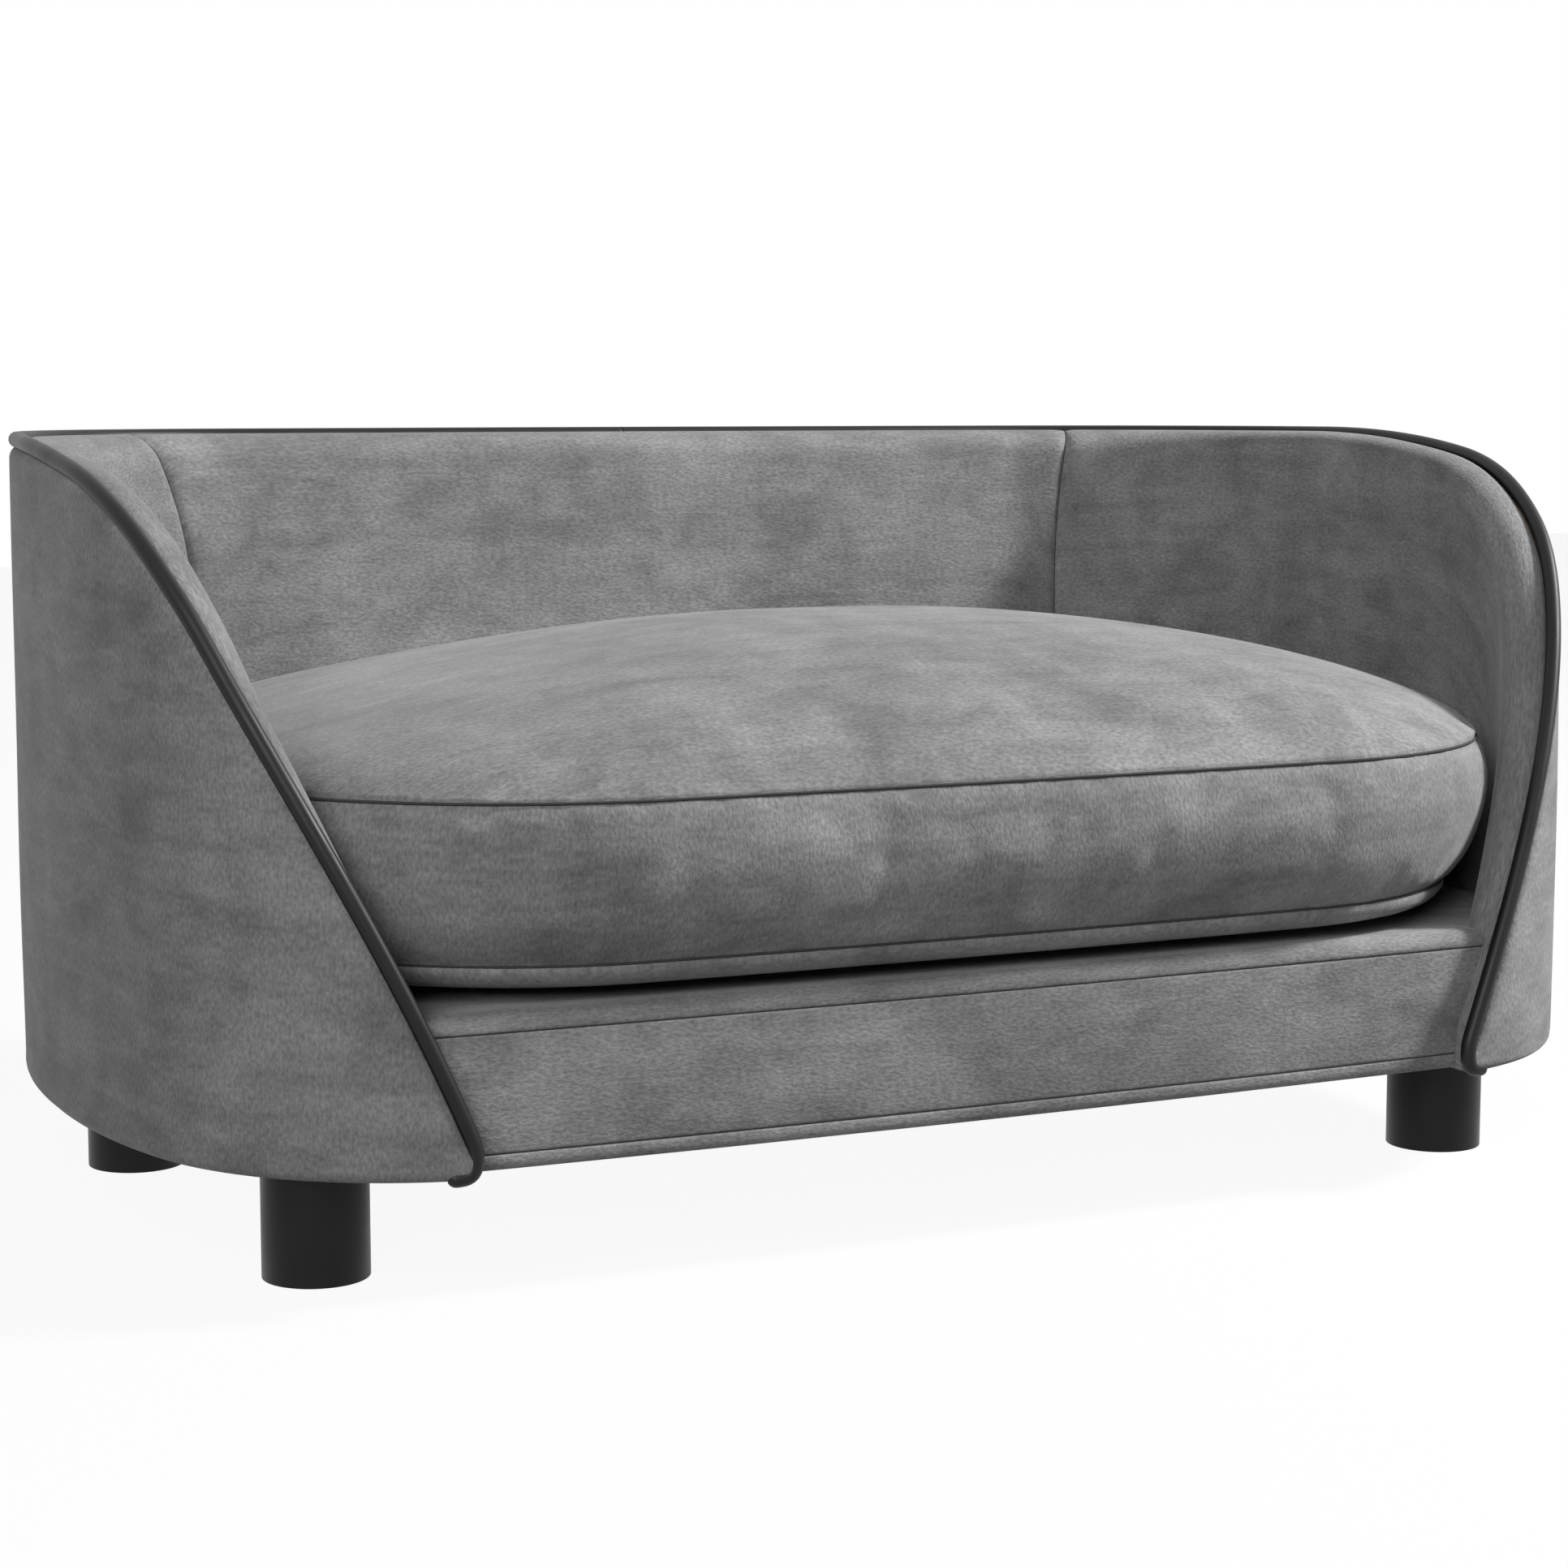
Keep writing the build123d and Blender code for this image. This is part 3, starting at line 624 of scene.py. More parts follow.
# Grey velvet whose crinkle runs level, on the inside, the rail and the cushion's two panels
LEVEL_VELVET = ShortPileVelvet(Crinkle.LEVEL)
# The same cloth cut the other way, so that its crinkle runs upright
UPRIGHT_VELVET = ShortPileVelvet(Crinkle.UPRIGHT)
# Black coated cloth over a cord: satin, with a leather grain about half a millimetre across
LEATHERETTE = Grained("black leatherette piping", "piping", "#0e0e0f", "#151516", 0.45, 0.55, 0.08,
                       gloss_level=0.25)
# Injection-moulded plastic with a fine spark-eroded texture, which blurs its highlights
LEG_PLASTIC = Grained("moulded black plastic", "black_legs", "#0e0e0f", "#131314", 0.4, 0.4, 0.03,
                       gloss_level=0.2)
# Open-cell foam: cream, matt, with pores near a millimetre across
FOAM = Grained("open-cell foam", "foam", "#d9d2bd", "#e6e0cd", 0.95, 1.1, 0.5)
# Loose crimped fibre: white and fluffy, with shallow soft lumps
FIBRE = Grained("spun polyester filling", "fibre_filling", "#e2e1db", "#f0f0ea", 0.9, 2.2, 0.8)
# Birch veneer bent in a press: long fine grain along X, dull and unvarnished
BENT_PLY = Grained("bent birch plywood", "bent_plywood", "#b8936a", "#cfae82", 0.6, 2.4, 0.1,
                   stretch=(0.08, 1.0, 1.0))
# The same veneer in a flat sheet, a little paler
FLAT_PLY = Grained("birch plywood", "plywood", "#bf9a6c", "#d8b88c", 0.6, 2.6, 0.1,
                   stretch=(0.07, 1.0, 1.0))
# Planed softwood: yellow, with its grain along Y, as the battens lie
PINE = Grained("planed pine", "pine", "#c9a56d", "#e0c08d", 0.55, 3.2, 0.12,
               stretch=(1.0, 0.06, 1.0))
# Zinc plating on steel wire and bolts: bright and barely textured
ZINC = Grained("bright zinc plating", "zinc", "#a7a9ab", "#c2c4c6", 0.32, 0.5, 0.02, metallic=1.0)
# Fibres bonded at points into a thin black sheet: matt and slightly pebbled
DUST_CLOTH = Grained("spun-bonded black cloth", "dust_cloth", "#141414", "#222222", 0.92, 0.9, 0.2)
# Close weave of grey yarn, with ribs along the zip
ZIP_CLOTH = Grained("woven zip tape", "zip_cloth", "#565657", "#646465", 0.85, 0.45, 0.15,
                    stretch=(1.0, 1.0, 3.0))
# Smooth drawn nylon, which glints a little
ZIP_NYLON = Grained("drawn nylon coil", "zip_nylon", "#4b4b4c", "#5a5a5b", 0.4, 0.3, 0.02)
# Enamel baked on a die-cast slider: grey with a clear gloss over it
SLIDER_ENAMEL = Grained("grey enamel on die-cast zinc", "slider_metal", "#4c4c4e", "#59595b", 0.35,
                        0.6, 0.02, coat=0.3)


# ---------------------------------------------------------------------------------------------
# The wall's plan and rake, which the CAD shares
# ---------------------------------------------------------------------------------------------


@dataclass
class Stretch:
    """One arc of the wall's plan, or a straight where turn is 0 and radius is its length."""

    centre: Flat
    radius: float
    first: float
    turn: float

    @property
    def length(self) -> float:
        """Length along the wall's outside."""
        return math.radians(self.turn) * self.radius if self.turn else self.radius


@dataclass
class WallLine:
    """Plan of the wall's outside, and the height of its piping, by the run from the right tip."""

    half_width: float = 380
    side_straight: float = 16
    front_side_radius: float = 400
    front_side_turn: float = 15.4
    front_corner_radius: float = 138
    front_corner_turn: float = 66.2
    rear_side_radius: float = 440
    rear_side_turn: float = 12.4
    rear_corner_radius: float = 160
    back_radius: float = 2700
    rail_set_back: float = 9.6
    cushion_overhang: float = 19
    arm_end_run: float = 8
    arm_end_height: float = 84.5
    crest_height: float = 359
    rake_run: float = 361
    ease_radius: float = 749
    ease_turn: float = 9.5
    shoulder_radius: float = 186
    rake_radius: float = 979
    seam_angle: float = 70.5
    stretches: list[Stretch] = field(init=False)

    def __post_init__(self) -> None:
        """Work out the arcs' centres."""
        self.tip_turn = self.front_side_turn + self.front_corner_turn
        side_reach = self.side_straight / 2
        tip_sine = math.sin(math.radians(self.tip_turn))
        side_sine = math.sin(math.radians(self.front_side_turn))
        self.tip_reach = (side_reach + self.front_side_radius * side_sine
                          + self.front_corner_radius * (tip_sine - side_sine))
        self.front_reach = self.tip_reach - self.rail_set_back + self.cushion_overhang
        rear_shift = self.rear_side_radius - self.rear_corner_radius
        rear_turn = math.radians(self.rear_side_turn)
        corner_x = self.half_width - self.rear_side_radius + rear_shift * math.cos(rear_turn)
        corner_reach = side_reach + rear_shift * math.sin(rear_turn)
        back_shift = self.back_radius - self.rear_corner_radius
        self.back_turn = math.degrees(math.asin(corner_x / back_shift))
        self.rear_reach = (corner_reach + self.back_radius
                           - back_shift * math.cos(math.radians(self.back_turn)))
        self.side_y = (self.front_reach - self.rear_reach) / 2
        self.front_side_centre = (self.half_width - self.front_side_radius,
                                  self.side_y - side_reach)
        self.front_corner_centre = polar(
            self.front_side_centre, self.front_side_radius - self.front_corner_radius,
            -self.front_side_turn,
        )
        self.rear_side_centre = (self.half_width - self.rear_side_radius,
                                 self.side_y + side_reach)
        self.rear_corner_centre = (corner_x, self.side_y + corner_reach)
        self.back_centre = (0.0, self.side_y + self.rear_reach - self.back_radius)
        rear_corner_turn = 90 - self.back_turn - self.rear_side_turn
        right = [
            Stretch(self.front_corner_centre, self.front_corner_radius, -self.tip_turn,
                    self.front_corner_turn),
            Stretch(self.front_side_centre, self.front_side_radius, -self.front_side_turn,
                    self.front_side_turn),
            Stretch((self.half_width, self.side_y), self.side_straight, 0, 0),
            Stretch(self.rear_side_centre, self.rear_side_radius, 0, self.rear_side_turn),
            Stretch(self.rear_corner_centre, self.rear_corner_radius, self.rear_side_turn,
                    rear_corner_turn),
        ]
        left = [
            Stretch((-s.centre[0], s.centre[1]), s.radius, 180 - s.first - s.turn, s.turn)
            for s in reversed(right)
        ]
        back = Stretch(self.back_centre, self.back_radius, 90 - self.back_turn,
                       2 * self.back_turn)
        self.stretches = [*right, back, *left]
        self.full_run = sum(s.length for s in self.stretches)
        self.half_run = self.full_run / 2
        self.seam_run = (sum(s.length for s in right[:-1])
                         + math.radians(self.seam_angle - self.rear_side_turn)
                         * self.rear_corner_radius)
        self.ease_centre = (self.rake_run, self.crest_height - self.ease_radius)
        ease = math.radians(self.ease_turn)
        shift = self.ease_radius - self.shoulder_radius
        self.shoulder_centre = (self.ease_centre[0] - shift * math.sin(ease),
                                self.ease_centre[1] + shift * math.cos(ease))
        self.rake_centre = self.crossing(
            (self.arm_end_run, self.arm_end_height), self.rake_radius,
            self.shoulder_centre, self.rake_radius - self.shoulder_radius,
        )
        sine = ((self.rake_centre[0] - self.shoulder_centre[0])
                / (self.rake_radius - self.shoulder_radius))
        self.ease_foot = self.ease_centre[0] - self.ease_radius * math.sin(ease)
        self.shoulder_foot = self.shoulder_centre[0] - self.shoulder_radius * sine

    @staticmethod
    def crossing(first: Flat, first_radius: float, second: Flat, second_radius: float) -> Flat:
        """Find the right-hand crossing of two circles.

        Args:
            first: Middle of the first circle.
            first_radius: Its radius.
            second: Middle of the second circle.
            second_radius: Its radius.

        Returns:
            The crossing with the larger x.
        """
        span_x, span_y = second[0] - first[0], second[1] - first[1]
        span = math.hypot(span_x, span_y)
        reach = (first_radius**2 - second_radius**2 + span**2) / (2 * span)
        half = math.sqrt(first_radius**2 - reach**2)
        middle = (first[0] + span_x * reach / span, first[1] + span_y * reach / span)
        return max(
            (middle[0] + way * span_y * half / span, middle[1] - way * span_x * half / span)
            for way in (1, -1)
        )

    def station(self, run: float) -> tuple[float, float, float]:
        """Find a station of the wall.

        Args:
            run: Distance along the outside from the right tip.

        Returns:
            Its x and y, and the angle in degrees that it faces.
        """
        rest = run
        for stretch in self.stretches:
            if rest <= stretch.length or stretch is self.stretches[-1]:
                break
            rest -= stretch.length
        if stretch.turn:
            angle = stretch.first + stretch.turn * rest / stretch.length
            return *polar(stretch.centre, stretch.radius, angle), angle
        along = (rest - stretch.length / 2) * (1 if stretch.first == 0 else -1)
        return stretch.centre[0], stretch.centre[1] + along, stretch.first

    def rake(self, run: float) -> tuple[float, float]:
        """Find the piping's height.

        Args:
            run: Distance along the outside from the right tip.

        Returns:
            The height, and how much an upright slice is stretched by the slope there.
        """
        near = min(run, self.full_run - run)
        if near >= self.rake_run:
            return self.crest_height, 1.0
        if near >= self.ease_foot:
            centre, radius = self.ease_centre, self.ease_radius
        elif near >= self.shoulder_foot:
            centre, radius = self.shoulder_centre, self.shoulder_radius
        else:
            centre, radius = self.rake_centre, self.rake_radius
        sine = (centre[0] - near) / radius
        cosine = math.sqrt(1 - sine * sine)
        return centre[1] + radius * cosine, 1 / cosine

    def point(self, run: float, inset: float, height: float) -> Place:
        """Find a point of the wall.

        Args:
            run: Distance along the outside from the right tip.
            inset: Distance inwards from the outside.
            height: Height above the floor.

        Returns:
            The point.
        """
        x, y, angle = self.station(run)
        turn = math.radians(angle)
        return x - inset * math.cos(turn), y - inset * math.sin(turn), height


LINE = WallLine()


# ---------------------------------------------------------------------------------------------
# The padded wall
# ---------------------------------------------------------------------------------------------


@dataclass
class PaddedWall:
    """Outer velvet, three inner panels with their seams, the foam and the piping of the wall."""

    thickness: float = 28
    shell_bottom: float = 55.5
    cloth: float = 1.5
    mesh_pitch: float = 4.0
    piping_radius: float = 3.75
    piping_inset: float = 3.3
    hook_reach: float = 8.5
    hook_round: float = 3
    easing: int = 7
    piping_run: float = 1.6
    crest_inset: float = 13
    crest_rise: float = 1.2
    rake_rise: float = 0.4
    roll_rise: float = 3
    roll_drop: float = 14
    roll_share: float = 0.6
    bottom_round: float = 5
    hem: float = 22
    tip_run: float = 4.2
    tip_round: float = 13
    foot_round: float = 3
    foot_run: float = 75
    deck_tuck: float = 117
    belly: float = 2.4
    foam_start: float = 8.3
    foam_gap: float = 2.6
    seam_pinch: float = 2.6
    seam_reach: float = 7
    seam_lean_right: float = 9
    seam_lean_left: float = 28
    seam_lean_drop: float = 85
    seam_lean_reach: float = 85
    cover_rows: int = 66
    lining_rows: int = 60
    thread_radius: float = 0.7
    foam_pitch: float = 6
    piping_pitch: float = 2.5
    eased_pitch: float = 1.6
    eased_points: int = 60

    def cover_profile(self, run: float) -> list[Flat]:
        """Outer velvet in an upright slice, from the hem under the base to the piping.

        Args:
            run: Where the slice is.

        Returns:
            Insets and heights.
        """
        height, steep = LINE.rake(run)
        near = min(run, LINE.full_run - run)
        bottom, radius = self.shell_bottom, self.bottom_round
        profile = [(self.hem, bottom + 0.9), (self.hem * 0.7, bottom + 0.5),
                   (self.hem * 0.42, bottom + 0.15)]
        profile += [(radius * (1 - sine), bottom + radius * (1 - cosine))
                    for sine, cosine in quarter(0, 6)]
        low = bottom + radius
        high = max(low + 4, height - 8 * steep)
        for k in range(1, self.cover_rows + 1):
            share = k / self.cover_rows
            level = low + (high - low) * share
            puff = 0.5 * math.sin(math.pi * share) ** 0.6 * smooth(0, 60, near)
            puff += 0.35 * drift((run, level, 0.0), 95, 11.0) * smooth(20, 90, near)
            puff *= min(1.0, (high - low) / 120)
            profile.append((-puff, level))
        for k in range(1, 7):
            share = k / 6
            profile.append((3.4 * share**2.2, high + (height - 2.6 * steep - high) * share))
        return profile

    def lining_profile(self, run: float) -> list[Flat]:
        """Inner velvet in an upright slice, from the piping over the roll and down to the deck.

        Args:
            run: Where the slice is.

        Returns:
            Insets and heights.
        """
        height, steep = LINE.rake(run)
        near = min(run, LINE.full_run - run)
        pinch = 0.0
        for seam in (LINE.seam_run, LINE.full_run - LINE.seam_run):
            gap = abs(run - seam)
            pinch = max(pinch, (1 - gap / self.seam_reach) ** 2 if gap < self.seam_reach else 0)
        bottom = 57 + (self.deck_tuck - 57) * smooth(self.foot_run, self.foot_run + 4, near)
        lift = self.rake_rise + (self.crest_rise - self.rake_rise) * smooth(240, 360, near)
        top = height + (lift - 0.9 * pinch) * steep
        drop = min(self.roll_drop * steep, (top - bottom) * self.roll_share)
        rise = self.roll_rise * steep
        profile = [(5.6, top - rise - 1.6 * steep), (6.4, top - rise - 0.7 * steep)]
        start = 7.2
        profile += [(self.crest_inset - (self.crest_inset - start) * cosine,
                     top - rise + rise * sine) for sine, cosine in quarter(0, 6)]
        reach = self.thickness - self.crest_inset
        profile += [(self.crest_inset + reach * sine, top - drop + drop * cosine)
                    for sine, cosine in quarter(1, 14)]
        low = top - drop
        swell = self.belly * smooth(100, 260, near)
        for k in range(1, self.lining_rows + 1):
            share = k / self.lining_rows
            level = low + (bottom - low) * share
            puff = swell * math.sin(math.pi * min(1.0, share * 1.15)) ** 0.8 if share < 0.869 else 0
            profile.append((self.thickness + puff, level))
        if near < self.foot_run:
            profile[-1] = (self.thickness - 4.0, bottom)
            profile[-2] = (self.thickness - 1.2, profile[-2][1])
        base = 6.2
        shaped = []
        for inset, level in profile:
            curve = self.foot_round + (self.tip_round - self.foot_round) * smooth(122, 165, level)
            rest = min(1.0, max(0.0, (self.tip_run + curve - near) / curve))
            moved = base + (inset - base) * math.sqrt(1 - rest * rest) if inset > base else inset
            depth = self.seam_pinch * pinch * smooth(start, self.crest_inset + 6, inset)
            slack = 0.0
            if inset > self.crest_inset:
                slack = 0.55 * drift((run, level, 0.0), 62, 3.0) * smooth(40, 120, near)
            shaped.append((moved - depth + slack, level))
        return shaped

    def lean(self, run: float, level: float) -> float:
        """Move a point of the lining along the wall, because the inner seams lean at their top.

        Args:
            run: Its run.
            level: Its height.

        Returns:
            The moved run.
        """
        rise = max(0.0, 1 - (LINE.crest_height - level) / self.seam_lean_drop) ** 2
        for seam, most in ((LINE.seam_run, -self.seam_lean_right),
                           (LINE.full_run - LINE.seam_run, self.seam_lean_left)):
            near = max(0.0, 1 - abs(run - seam) / self.seam_lean_reach)
            run += most * min(rise, 1.0) * near
        return run

    def lay_slices(
        self, name: str, runs: Sequence[float], profile: Callable[[float], list[Flat]],
        leaning: bool,
    ) -> bpy.types.Object:
        """Lay cloth over slices of the wall.

        Args:
            name: Name of the piece.
            runs: Where the slices are.
            profile: Gives a slice's insets and heights.
            leaning: Whether the slices lean where the inner seams do.

        Returns:
            The piece.
        """
        points, spans = [], []
        for run in reversed(runs):
            places = profile(run)
            points.append([LINE.point(self.lean(run, level) if leaning else run, inset, level)
                           for inset, level in places])
            spans.append([(run, length) for length in cloth_lengths(places)])
        return lay_cloth(name, points, spans, thickness=self.cloth)

    def panel_runs(self, first: float, last: float, tips: Sequence[float]) -> list[float]:
        """Runs of a panel's slices, closer together at its tips and its seams.

        Args:
            first: Run of its start.
            last: Run of its end.
            tips: Runs of the wall's tips that it reaches.

        Returns:
            The runs in order.
        """
        runs = steps(first, last, self.mesh_pitch)
        for tip in tips:
            way = 1 if tip == first else -1
            runs = [run for run in runs if abs(run - tip) > self.tip_round]
            runs += [tip + way * self.tip_round * (1 - cosine) for _, cosine in quarter(0, 11)]
        for edge in (first, last):
            if edge not in tips:
                runs += [edge + (1 if edge == first else -1) * gap for gap in (0.7, 1.6, 2.8)]
        return sorted(runs)

    def make_cover(self) -> None:
        """Outer velvet, one length of cloth from tip to tip."""
        first, last = self.piping_run + 1.2, LINE.full_run - self.piping_run - 1.2
        runs = self.panel_runs(first, last, (first, last))
        cover = self.lay_slices("outer_velvet", runs, self.cover_profile, False)
        hand_over(cover, "frame", UPRIGHT_VELVET, "outer_cover")

    def make_linings(self) -> None:
        """Inner velvet: the two arms and the back, which meet at upright seams."""
        seams = (LINE.seam_run, LINE.full_run - LINE.seam_run)
        tips = (self.tip_run, LINE.full_run - self.tip_run)
        panels = (
            ("right_arm_velvet", tips[0], seams[0], (tips[0],), "arm_lining_right"),
            ("back_velvet", seams[0], seams[1], (), "back_lining"),
            ("left_arm_velvet", seams[1], tips[1], (tips[1],), "arm_lining_left"),
        )
        for name, first, last, ends, node in panels:
            runs = self.panel_runs(first, last, ends)
            lining = self.lay_slices(name, runs, self.lining_profile, True)
            hand_over(lining, "frame", LEVEL_VELVET, node)

    def make_inner_seams(self) -> None:
        """Thread lines where the back and the arm panels are sewn together, dark as painted shade in
        the seams.
        """
        threads = []
        for name, seam in (("right", LINE.seam_run), ("left", LINE.full_run - LINE.seam_run)):
            line = [LINE.point(self.lean(seam, level), inset - 0.5, level)
                    for inset, level in self.lining_profile(seam)[4:-4]]
            threads.append(make_tube(f"{name}_seam", line, self.thread_radius, closed=False))
        hand_over(join_pieces(threads, "lining_seam_shade_thread"), "frame", SeamShadeThread())

    def make_foam(self) -> None:
        """Foam glued round the inside of the board, a little within the velvet."""
        points, spans = [], []
        gap, board = self.foam_gap, self.foam_start
        keep = (self.thickness - gap - board) / (self.thickness - board)
        first = self.tip_run + 3.6
        for run in steps(first, LINE.full_run - first, self.foam_pitch):
            loop = [(max(board + 0.4, board + (inset - board) * keep), level - gap)
                    for inset, level in self.lining_profile(run)[5::2]]
            bottom = loop[-1][1] + gap + 1
            loop = [(inset, max(level, bottom)) for inset, level in loop]
            loop += [(board, bottom), (board, loop[0][1] - 1), loop[0]]
            points.append([LINE.point(self.lean(run, level), inset, level)
                           for inset, level in loop])
            spans.append([(run, level) for _, level in loop])
        foam = lay_cloth("wall_and_arm_foam", points, spans, closed=True)
        edit_all(foam, bpy.ops.mesh.fill_holes, sides=0)
        turn_out(foam)
        hand_over(foam, "frame", FOAM, "wall_foam", "arm_foam_right", "arm_foam_left")

    def piping_route(self) -> list[Place]:
        """Middle line of the piping, from a hook under the right arm round to the left one."""
        low, reach, turn_radius = self.shell_bottom + 1.2, self.hook_reach, self.hook_round
        corners = [(self.piping_run + reach, low), (self.piping_run + turn_radius, low)]
        corners += [(self.piping_run, level) for level in
                    (low + turn_radius, LINE.rake(self.piping_run)[0])]
        run = self.piping_run
        while run < LINE.half_run:
            run += self.piping_pitch / LINE.rake(run)[1]
            corners.append((run, LINE.rake(run)[0]))
        line = [corners[0]]
        for last, following in zip(corners, corners[1:]):
            count = max(1, round(math.dist(last, following) / self.eased_pitch))
            line += [(last[0] + (following[0] - last[0]) * k / count,
                      last[1] + (following[1] - last[1]) * k / count)
                     for k in range(1, count + 1)]
        for _ in range(self.easing):
            line[1:self.eased_points] = [
                tuple((line[k - 1][i] + 2 * line[k][i] + line[k + 1][i]) / 4 for i in (0, 1))
                for k in range(1, self.eased_points)
            ]
        points = [LINE.point(run, self.piping_inset, level) for run, level in line]
        return points + [(-x, y, z) for x, y, z in reversed(points)]

    def make_piping(self) -> None:
        """One cord in black coated cloth, with rounded ends."""
        piping = make_tube("edge_piping", self.piping_route(), self.piping_radius, closed=False)
        hand_over(piping, "frame", LEATHERETTE, "wall_piping")

    def make(self) -> None:
        """Build the whole wall."""
        self.make_cover()
        self.make_linings()
        self.make_inner_seams()
        self.make_foam()
        self.make_piping()


# ---------------------------------------------------------------------------------------------
# The low box
# ---------------------------------------------------------------------------------------------


@dataclass
class LowBox:
    """Velvet of the rail and deck, and the black cloth with its staples underneath."""

    bow_radius: float = 6600
    end_run: float = 74.0
    end_reach: float = 274.0
    under_run: float = 12.0
    under_reach: float = 257.0
    wall_inset: float = 27.7
    bottom: float = 55.5
    low_seam: float = 63
    top_seam: float = 114.5
    deck_top: float = 121
    roll_top: float = 123
    roll_depth: float = 7
    roll_end: float = 14
    skirt_bottom: float = 80
    seam_depth: float = 1.1
    pitch: float = 5.0
    under_pitch: float = 9
    cloth: float = 1.3
    hem: float = 22
    hem_round: float = 4.2
    thread_radius: float = 0.75
    dust_cloth_share: float = 0.985
    staple_share: float = 0.97
    staple_pitch: float = 32
    staple_size: Place = (10, 1.1, 0.6)
    staple_bevel: float = 0.25

    def bow(self, x: float) -> float:
        """Front of the rail at an x."""
        front = LINE.side_y - (LINE.tip_reach - LINE.rail_set_back)
        return front + self.bow_radius - math.sqrt(self.bow_radius**2 - x * x)

    def outline(self, reach: float, run: float,
                pitch: float) -> list[tuple[float, float, float, float]]:
        """Plan of the box, anticlockwise from the left front corner.

        Args:
            reach: How far the front runs to each side.
            run: Where the outline joins the foot of the wall.
            pitch: Distance between the points.

        Returns:
            Points of the closed outline, each with how far it is from the front's nearer end and
            how much it belongs to the front, from 0 to 1.
        """
        front_y = self.bow(reach)
        points = [(x, self.bow(x), reach - abs(x), 1.0) for x in steps(-reach, reach, pitch)]
        inner = LINE.point(run, self.wall_inset, 0)
        joint = [(reach + (inner[0] - reach) * k / 4,
                  front_y + (inner[1] - front_y) * k / 4, 0.0, 1 - k / 4) for k in (1, 2, 3)]
        wall = []
        for along in steps(run, LINE.full_run - run, pitch):
            x, y, _ = LINE.point(along, self.wall_inset, 0)
            wall.append((x, y, min(along, LINE.full_run - along) - run, 0.0))
        return points + joint + wall + [(-x, y, near, share) for x, y, near, share in
                                        reversed(joint)]

    def make_front(self, name: str, node: str, profile: Sequence[Flat]) -> None:
        """Lay a strip of velvet across the front.

        Args:
            name: Name of the piece.
            node: Node that it stands for.
            profile: Distances behind the bow and heights, from the bottom up.
        """
        corner_x = self.end_reach + 0.6
        across = steps(corner_x, -corner_x, self.pitch * 0.8)
        points = [[(x, self.bow(x) + back + 0.25 * drift((x, level, 0.0), 55, 9.0), level)
                   for back, level in profile] for x in across]
        spans = [[(x, length) for length in cloth_lengths(profile)] for x in across]
        strip = lay_cloth(name, points, spans, thickness=self.cloth)
        hand_over(strip, "frame", LEVEL_VELVET, node)

    def make_rail(self) -> None:
        """The hem strip and the face, with a thin seam between them."""
        dip = self.seam_depth
        bottom, low, top = self.bottom, self.low_seam, self.top_seam
        hem = [(self.hem, bottom + 0.9), (self.hem * 0.6, bottom + 0.4), (6, bottom + 0.1)]
        hem += [(self.hem_round * (1 - sine), bottom + self.hem_round * (1 - cosine))
                for sine, cosine in quarter(1, 6)]
        hem += [(0, low - 2), (0.05, low - 1.1), (0.3, low - 0.5), (dip, low - 0.12)]
        face = [(dip, low + 0.12), (0.3, low + 0.5), (0.05, low + 1.2)]
        face += [(-1.1 * math.sin(math.pi * k / 22) ** 0.7, low + 2 + (top - low - 4) * k / 22)
                 for k in range(23)]
        face += [(0.05, top - 1.2), (0.3, top - 0.5), (dip, top - 0.12)]
        self.make_front("rail_hem", "rail_hem_strip", hem)
        self.make_front("rail_face", "rail_face_panel", face)

    def make_deck(self) -> None:
        """The top panel: a soft roll over the front edge, then flat to the foot of the wall."""
        seam, flat = self.top_seam, self.deck_top
        rings = [(self.seam_depth, 0.01), (0.3, 0.05), (0.05, 0.11)]
        rings += [(self.roll_depth * (1 - cosine), 0.11 + 0.89 * sine)
                  for sine, cosine in quarter(1, 10)]
        rings += [(self.roll_depth + back, climb)
                  for back, climb in ((5, 0.97), (11, 0.85), (18, 0.66), (26, 0.55))]
        outline = self.outline(self.end_reach, self.end_run, self.pitch)
        outline.append(outline[0])
        points, spans = [], []
        for back, climb in rings:
            row = []
            for x, y, near, share in outline:
                crest = self.roll_top - 1.6 * smooth(self.roll_end, 0, near)
                level = flat + (crest - flat) * share if climb > 0.6 else crest
                fall = (crest - flat) * (1 - climb) / 0.45 if back > self.roll_depth else 0.0
                level = seam + (level - seam) * (climb if back <= self.roll_depth else 1.0)
                if climb < 0.2:
                    skirt = self.skirt_bottom + (level - self.skirt_bottom) * climb * 8
                    level += (skirt - level) * (1 - share)
                row.append((x, y + back * share, level - max(0.0, fall) * share))
            points.append(row)
            spans.append([(x, y - (flat - level)) for x, y, level in row])
        edge = points[-1]
        middle = -6.0
        for k in range(1, 29):
            share = 1 - k / 28
            row = []
            for x, y, level in edge:
                place = (x * share, middle + (y - middle) * share)
                slack = 0.7 * drift((place[0], place[1], 0.0), 90, 5.0) * smooth(1, 0.8, share)
                row.append((*place, flat + (level - flat) * smooth(0.86, 1, share) + slack))
            points.append(row)
            spans.append([(x, y) for x, y, _ in row])
        deck = lay_cloth("deck_top", points, spans, closed=True)
        hand_over(deck, "frame", LEVEL_VELVET, "rail_top_panel")

